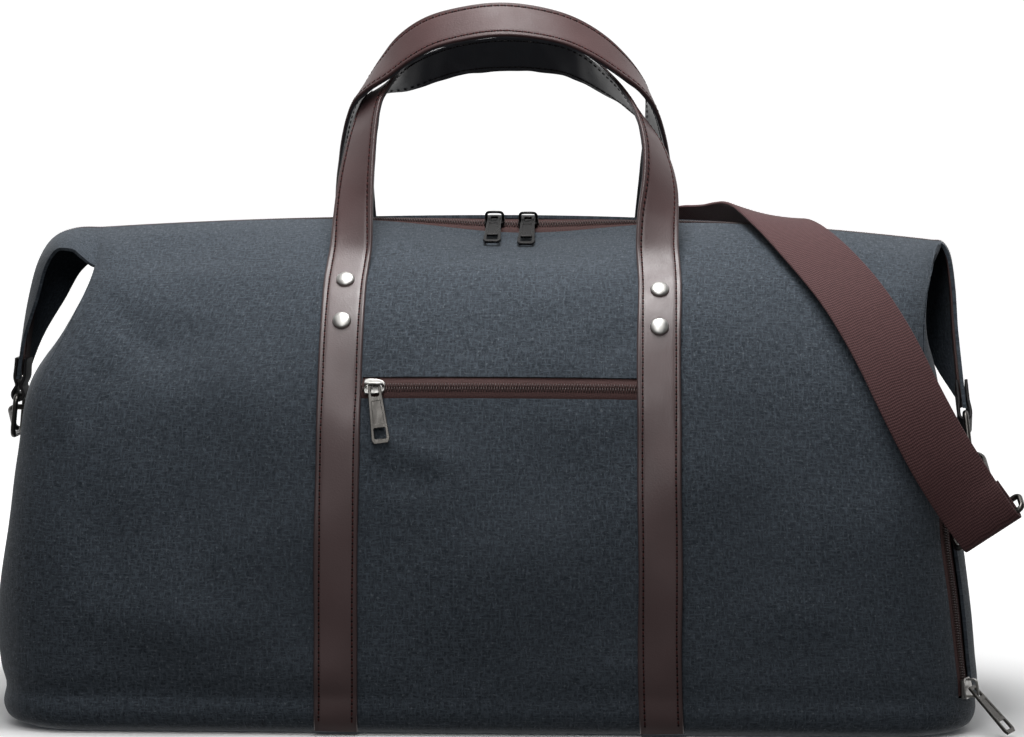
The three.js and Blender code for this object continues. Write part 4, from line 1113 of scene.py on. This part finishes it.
def eased(at, looks, run, legs):
    """The strap's sideways line and facing made smooth where the legs leave the canvas."""
    rows = np.concatenate([at[:, :1], looks], 1)
    reach, spread = 11, 30
    weight = np.hanning(2 * reach + 1)
    weight = weight / weight.sum()
    soft = np.stack([np.convolve(np.pad(c, reach, "edge"), weight, "valid") for c in rows.T], 1)
    near = sum(np.exp(-((run - j) / spread) ** 2) for j in (legs[0], run[-1] - legs[1]))[:, None]
    rows = rows + (soft - rows) * np.minimum(1, near)
    return np.concatenate([rows[:, :1], at[:, 1:]], 1), unit(rows[:, 1:]), run


def handle_line(face, arch):
    levels = level_rows(LEG["foot_level"], LEG["leave_level"], 7.0)
    left, right = (columns(leg_station(face, side, level, GAP) for level in levels) for side in (-1, 1))
    loop = spline(arch, np.linspace(0, len(arch) - 1, 33))
    at = np.concatenate([left[0], loop[:, :3] * (1, face, 1), right[0][::-1]])
    first, last = len(left[0]), len(left[0]) + len(loop)
    along = unit(at[first + 1:last + 1] - at[first - 1:last - 1])
    flat = unit(np.array([0, face, 0]) - along * (along[:, 1] * face)[:, None])
    outward = -face * np.cross(flat, along)
    angle = np.radians(loop[:, 3])[:, None]
    looks = flat * np.cos(angle) + outward * np.sin(angle)
    looks = np.concatenate([left[1], looks, right[1][::-1]])
    return eased(*resample(at, looks, 2.6), [distances(leg[0])[-1] for leg in (left, right)])


LEATHER = {"low": 1.3, "high": 2.85, "crown": 0.12, "groove": 0.3}
LINING_TOP = 1.28
STITCH = {"inset": 3.0, "pitch": 3.7, "sizes": (1.25, 0.55, 0.42)}
PRICK = {"rise": 0.06, "sizes": (0.72, 0.62, 0.24)}


def half_round(width, low, high, crown, groove):
    """Section of a leather layer: softened edges, a slight crown and a groove along each row of stitches."""
    w = width / 2
    turn = np.sin(np.linspace(0, math.pi / 2, 5))
    x = np.concatenate([w - 1.0 + turn[::-1], np.linspace(w - 1.3, -w + 1.3, 26), -w + 1.0 - turn])
    y = high + crown * (1 - (x / w) ** 2) - groove * np.exp(-((np.abs(x) - w + STITCH["inset"]) / 0.8) ** 2)
    edge = np.clip(np.abs(x) - (w - 1.0), 0, 1)
    y = y - (high - low) * 0.75 * (1 - np.sqrt(np.maximum(0, 1 - edge ** 2)))
    return [(-w, low), (w, low), *np.stack([x, y], -1).tolist()]


def stitches(name, at, face, rise, bare, material):
    """Two rows of stitches with their holes along a handle, but for a bare length at both its ends."""
    points, looks, run = resample(at, face, STITCH["pitch"])
    along, side, out = frames_of(points, looks)
    keep = (run > bare) & (run < run[-1] - bare)
    offset = HANDLE["width"] / 2 - STITCH["inset"]
    c = np.concatenate([(points + side * (way * offset) + out * rise)[keep] for way in (-1, 1)])
    a, o = np.concatenate([along[keep]] * 2), np.concatenate([out[keep]] * 2)
    # Beads at the holes between stitches, in painted shade.
    pricks = c + a * (STITCH["pitch"] / 2) + o * PRICK["rise"]
    finish_piece(beads(name + "_holes", pricks, a, o, PRICK["sizes"], 4, 6), HOLE_SHADE)
    finish_piece(beads(name, c, a, o, STITCH["sizes"], 5, 7), material)


def handle(name, node, face, arch):
    at, looks, run = handle_line(face, arch)
    wobble = 0.25 * np.sin(run / 31.0 + face) + 0.18 * np.sin(run / 13.7)
    free = np.exp(-((run - run[-1] / 2) / 120) ** 2)
    ripple = free * (0.2 * np.sin(run / 1.9) + 0.5 * np.sin(run / 3.1 + 1) + 0.4 * np.sin(run / 5.3))

    def outer_shape(local):
        local[..., 0] += wobble[:, None]
        return local

    def inner_shape(local):
        local = outer_shape(local)
        wave = ripple[:, None] * np.cos(local[..., 0] / 6.0)
        local[..., 1] += np.where(local[..., 1] < 0.3, np.maximum(wave, -0.5), 0)
        return local

    outer = sweep(name, at, looks, half_round(HANDLE["width"], **LEATHER), outer_shape)
    finish_piece(outer, BROWN, [node])
    w = HANDLE["width"] / 2 - 0.25
    under = [(x, 0.0) for x in np.linspace(-w, w, 15)] + [(w, LINING_TOP), (-w, LINING_TOP)]
    lining = sweep(name + "_lining", at, looks, under, inner_shape)
    finish_piece(lining, LINING)
    stitches(name + "_stitches", at, looks, 2.72, 5, THREAD)
    stitches(name + "_under_stitches", at, looks, -0.02, 270, DARK_THREAD)


handle("front_handle_leather", "front_handle", -1, FRONT_ARCH)
handle("back_handle_leather", "back_handle", 1, BACK_ARCH)


# Rivets.
def lathe(profile, at, axis, sides):
    axis = unit(axis)
    u = unit(np.cross(axis, (0.2, 0.3, 0.93)))
    w = np.cross(axis, u)
    b = circle(sides)[:, None]
    verts = [at + axis * h + r * (np.cos(b) * u + np.sin(b) * w) for r, h in profile]
    return np.concatenate(verts), skin(len(profile), sides)


DOME = [(5.3, 0.0), (5.4, 0.25), (5.4, 0.75), (5.25, 1.0)]
DOME += [(5.25 * math.cos(t), 1.0 + 1.6 * math.sin(t)) for t in np.linspace(0.1, 1.53, 12)]
for face, face_name in ((-1, "front"), (1, "back")):
    for side, side_name in ((-1, "left"), (1, "right")):
        for row, level in RIVET_LEVELS[side_name].items():
            at, looks = leg_station(face, side, level, HANDLE["thick"] + GAP - 0.1)
            name = f"rivet_{face_name}_{side_name}_{row}"
            obj = together(name + "_dome", [lathe(DOME, at, looks, 40)], sharp=50)
            finish_piece(obj, NICKEL, [name])


# Tabs, rings, hooks and the shoulder strap.
def wire_loop(centre, wide, tall, half_wide, half_tall, corner, wire):
    """A closed round wire bent to a box with round corners."""
    loop = round_box(0, 0, half_wide, half_tall, corner, 8)
    return tube([centre + wide * x + tall * y for x, y in loop], wire, 16, True)


def fold_stations(bar, away, face, radius, lap):
    """A strap's end from under the strap round a bar."""
    at, looks = [bar - face * radius + away * lap], [-face]
    for t in np.linspace(0, math.pi, 13):
        d = -face * math.cos(t) - away * math.sin(t)
        at.append(bar + d * radius)
        looks.append(d)
    return at, looks


def band(width, thick, r):
    """Section of a strap with round edges."""
    w = width / 2
    arc = np.linspace(0, math.pi / 2, 4)
    right = [(w - r + r * math.sin(t), r - r * math.cos(t)) for t in arc]
    right += [(w - r + r * math.cos(t), thick - r + r * math.sin(t)) for t in arc]
    inner = np.linspace(w - r, r - w, 13)[1:-1]
    left = [(-x, y) for x, y in right[::-1]]
    return right + [(x, thick) for x in inner] + left + [(x, 0.0) for x in inner[::-1]]


def square_to(way, *others):
    """A direction made square to others, one after the other."""
    way = np.array(way, float)
    for other in others:
        way = way - other * np.dot(way, other)
    return unit(way)


def add_tab(name, side):
    """A tab folded over a wing's tip with its ring; gives the ring's middle and its two directions."""
    tip = wing_frame(side, 1.0)
    down = unit(tip["at"] - wing_frame(side, 0.9)["at"])
    up = square_to(tip["up"], down)
    beside = np.cross(down, up)
    outer, inner = TAB["clear"], -CANVAS - TAB["clear"]
    middle = (outer + inner) / 2

    def spot(along, out):
        return tip["at"] + down * along + up * out

    bar = spot(TAB["reach"], middle)
    at, looks = fold_stations(bar, -down, up, TAB["loop"], 3)
    laps = (-TAB["lap"], -TAB["lap"] / 2, 0)
    low = [spot(along, inner) for along in laps]
    high = [spot(along, outer) for along in laps[::-1]]
    if side < 0:
        low.append(spot(TAB["pinch"], middle - GAP))
        high.insert(0, spot(TAB["pinch"], middle + GAP))
    at = np.array([*low, *at[1:], *high])
    looks = np.array([-up] * len(low) + looks[1:] + [up] * len(high))
    at, looks, _ = resample(at, looks, 0.8)
    tab = sweep(name + "_tab_leather", at, looks, band(TAB["width"], TAB["thick"], 0.6))
    finish_piece(tab, BLACK, [name + "_tab"])
    top = outer + TAB["thick"] - 0.1
    sew = np.array([spot(row, top) + beside * y for row in (-9.0, -3.0) for y in np.arange(-8, 8.1, 3.2)])
    ways = [np.repeat([way], len(sew), 0) for way in (beside, up)]
    finish_piece(beads(name + "_tab_stitches", sew, *ways, (1.2, 0.4, 0.34), 5, 7), DARK_THREAD)
    centre = bar + down * RING["half_height"]
    half_wide, half_tall = RING["half_width"], RING["half_height"]
    ring = wire_loop(centre, beside, down, half_wide, half_tall, RING["corner"], RING["wire"])
    finish_piece(together(name + "_ring_metal", [ring]), GUN, [name + "_ring"])
    return centre, beside, down


def add_hook(name, end, centre, beside, down):
    """A snap hook from the ring to the strap's end; gives the stations of the strap's fold in its eye."""
    eye = np.array(end["at"], float)
    aside, below = end["hold"]
    reach = centre + beside * (aside * RING["half_width"]) + down * (below * RING["half_height"]) - eye
    length = np.linalg.norm(reach) + end["past"]
    d = unit(reach)
    along = square_to(end["bar"], d)
    wide = np.cross(square_to(beside * below + down * aside, d), d)
    wire, neck = HOOK["wire"], HOOK["neck"]
    deep, half = HOOK["eye_depth"] / 2, HOOK["loop_length"] / 2
    eye_loop = wire_loop(eye + d * deep, along, d, HOOK["eye_half"], deep, 3, wire)
    nose = wire_loop(eye + d * (length - half), wide, d, HOOK["loop_half"], half, 7, wire)
    low = HOOK["eye_depth"] - wire
    span = length - HOOK["loop_length"] + wire - low
    profile = [
        (0.8, 0), (1.25, 0.8), (1.25, 3.2), (0.8, 4.2), (0.8, 5.0), (1, 6.0),
        (1, span - 3), (0.85, span - 1), (0.7, span),
    ]
    shank = lathe([(neck * r, h) for r, h in profile], eye + d * low, d, 24)
    hook = together(name + "_hook_metal", [eye_loop, nose, shank])
    finish_piece(hook, GUN, [name + "_hook"])
    away = square_to(end["away"], along)
    face = unit(np.cross(away, along))
    face = face * np.sign(np.dot(face, np.array(end["out"], float)))
    return fold_stations(eye, away, face, STRAP["loop"], STRAP["lap"])


folds = {}
for name, side in (("right", 1), ("left", -1)):
    folds[name] = add_hook(name, STRAP_ENDS[name], *add_tab(name, side))

route = spline(STRAP_ROUTE, np.linspace(0, len(STRAP_ROUTE) - 1, 57))
strap_at = np.concatenate([folds["right"][0], route[:, :3], folds["left"][0][::-1]])
strap_face = np.concatenate([folds["right"][1], unit(route[:, 3:]), folds["left"][1][::-1]])
strap_at, strap_face, strap_run = resample(strap_at, strap_face, 1.5)
section = band(STRAP["width"], STRAP["thick"], 0.7)
webbing = sweep("shoulder_strap_webbing", strap_at, strap_face, section, sharp=60)
finish_piece(webbing, WEB, ["shoulder_strap"])

# Floor, light and camera.
WORLD = {"front": 0.14, "behind": 1.05, "below": 0.85}
FLOOR = {"near": 0.3, "far": 0.9, "glow": 0.62}
CAMERA = {"azimuth": 3, "elevation": 4, "distance": 2.4, "target": (0.0032, 0, 0.2016), "sensor": 36}
CAMERA_LENS = 4021 / 1024 * CAMERA["sensor"]

look = Look("floor")
place = look.coords("Object")
far = look.node("VectorMath", {0: place}, operation="LENGTH").outputs["Value"]
look.set(
    Base_Color=look.mix(look.noise(place, 5.0), rgb(0.90, 0.90, 0.90), rgb(0.94, 0.94, 0.94)),
    Roughness=0.95,
    Specular_IOR_Level=0.0,
    Emission_Color=rgb(1, 1, 1),
    Emission_Strength=look.ramp(far, FLOOR["near"], FLOOR["far"], 0.0, FLOOR["glow"]),
)
rings = np.concatenate([np.linspace(0, 2000, 9), [4000, 9000, 30000]])
turns = np.linspace(0, 2 * math.pi, 65)
disc = np.array([[(r * math.cos(t), r * math.sin(t), -0.5) for t in turns] for r in rings])
quads = grid_quads(np.arange(len(rings) * len(turns)).reshape(len(rings), len(turns)))
floor = link("floor", disc.reshape(-1, 3), quads.reshape(-1, 4).tolist())
floor.data.materials.append(look.material)
floor.visible_diffuse = False
floor.visible_glossy = False

scene = bpy.context.scene
scene.view_settings.view_transform = "Standard"
world = bpy.data.worlds.new("studio")
world.use_nodes = True
sky = Nodes(world.node_tree)
_, behind, height = sky.split(sky.coords("Generated"))
strength = sky.times(
    sky.ramp(behind, -0.05, 0.5, WORLD["front"], WORLD["behind"]),
    sky.ramp(height, -0.12, -0.02, WORLD["below"], 1.0),
)
background = sky.tree.nodes["Background"]
sky.put(background.inputs["Strength"], strength)
sky.put(background.inputs["Color"], rgb(1, 1, 1))
scene.world = world


def area_light(name, at, target, size, power):
    data = bpy.data.lights.new(name, "AREA")
    data.shape = "RECTANGLE"
    data.size, data.size_y = size
    data.energy = power
    obj = bpy.data.objects.new(name, data)
    obj.location = at
    obj.rotation_euler = (Vector(target) - Vector(at)).to_track_quat("-Z", "Y").to_euler()
    obj.visible_camera = False
    scene.collection.objects.link(obj)


area_light("top_light", (0.0, -0.14, 1.0), (0, -0.02, 0.2), (0.34, 0.5), 7.8)
area_light("front_light", (-0.08, -1.26, 1.18), (0, -0.11, 0.22), (0.5, 1.25), 7.6)

camera = bpy.data.cameras.new("camera")
azimuth, elevation = math.radians(CAMERA["azimuth"]), math.radians(CAMERA["elevation"])
flat = math.cos(elevation)
way = Vector((math.sin(azimuth) * flat, -math.cos(azimuth) * flat, math.sin(elevation)))
view = bpy.data.objects.new("camera", camera)
view.location = Vector(CAMERA["target"]) + way * CAMERA["distance"]
view.rotation_euler = (-way).to_track_quat("-Z", "Y").to_euler()
camera.sensor_width = CAMERA["sensor"]
camera.lens = CAMERA_LENS
camera.clip_end = 50
scene.collection.objects.link(view)
scene.camera = view
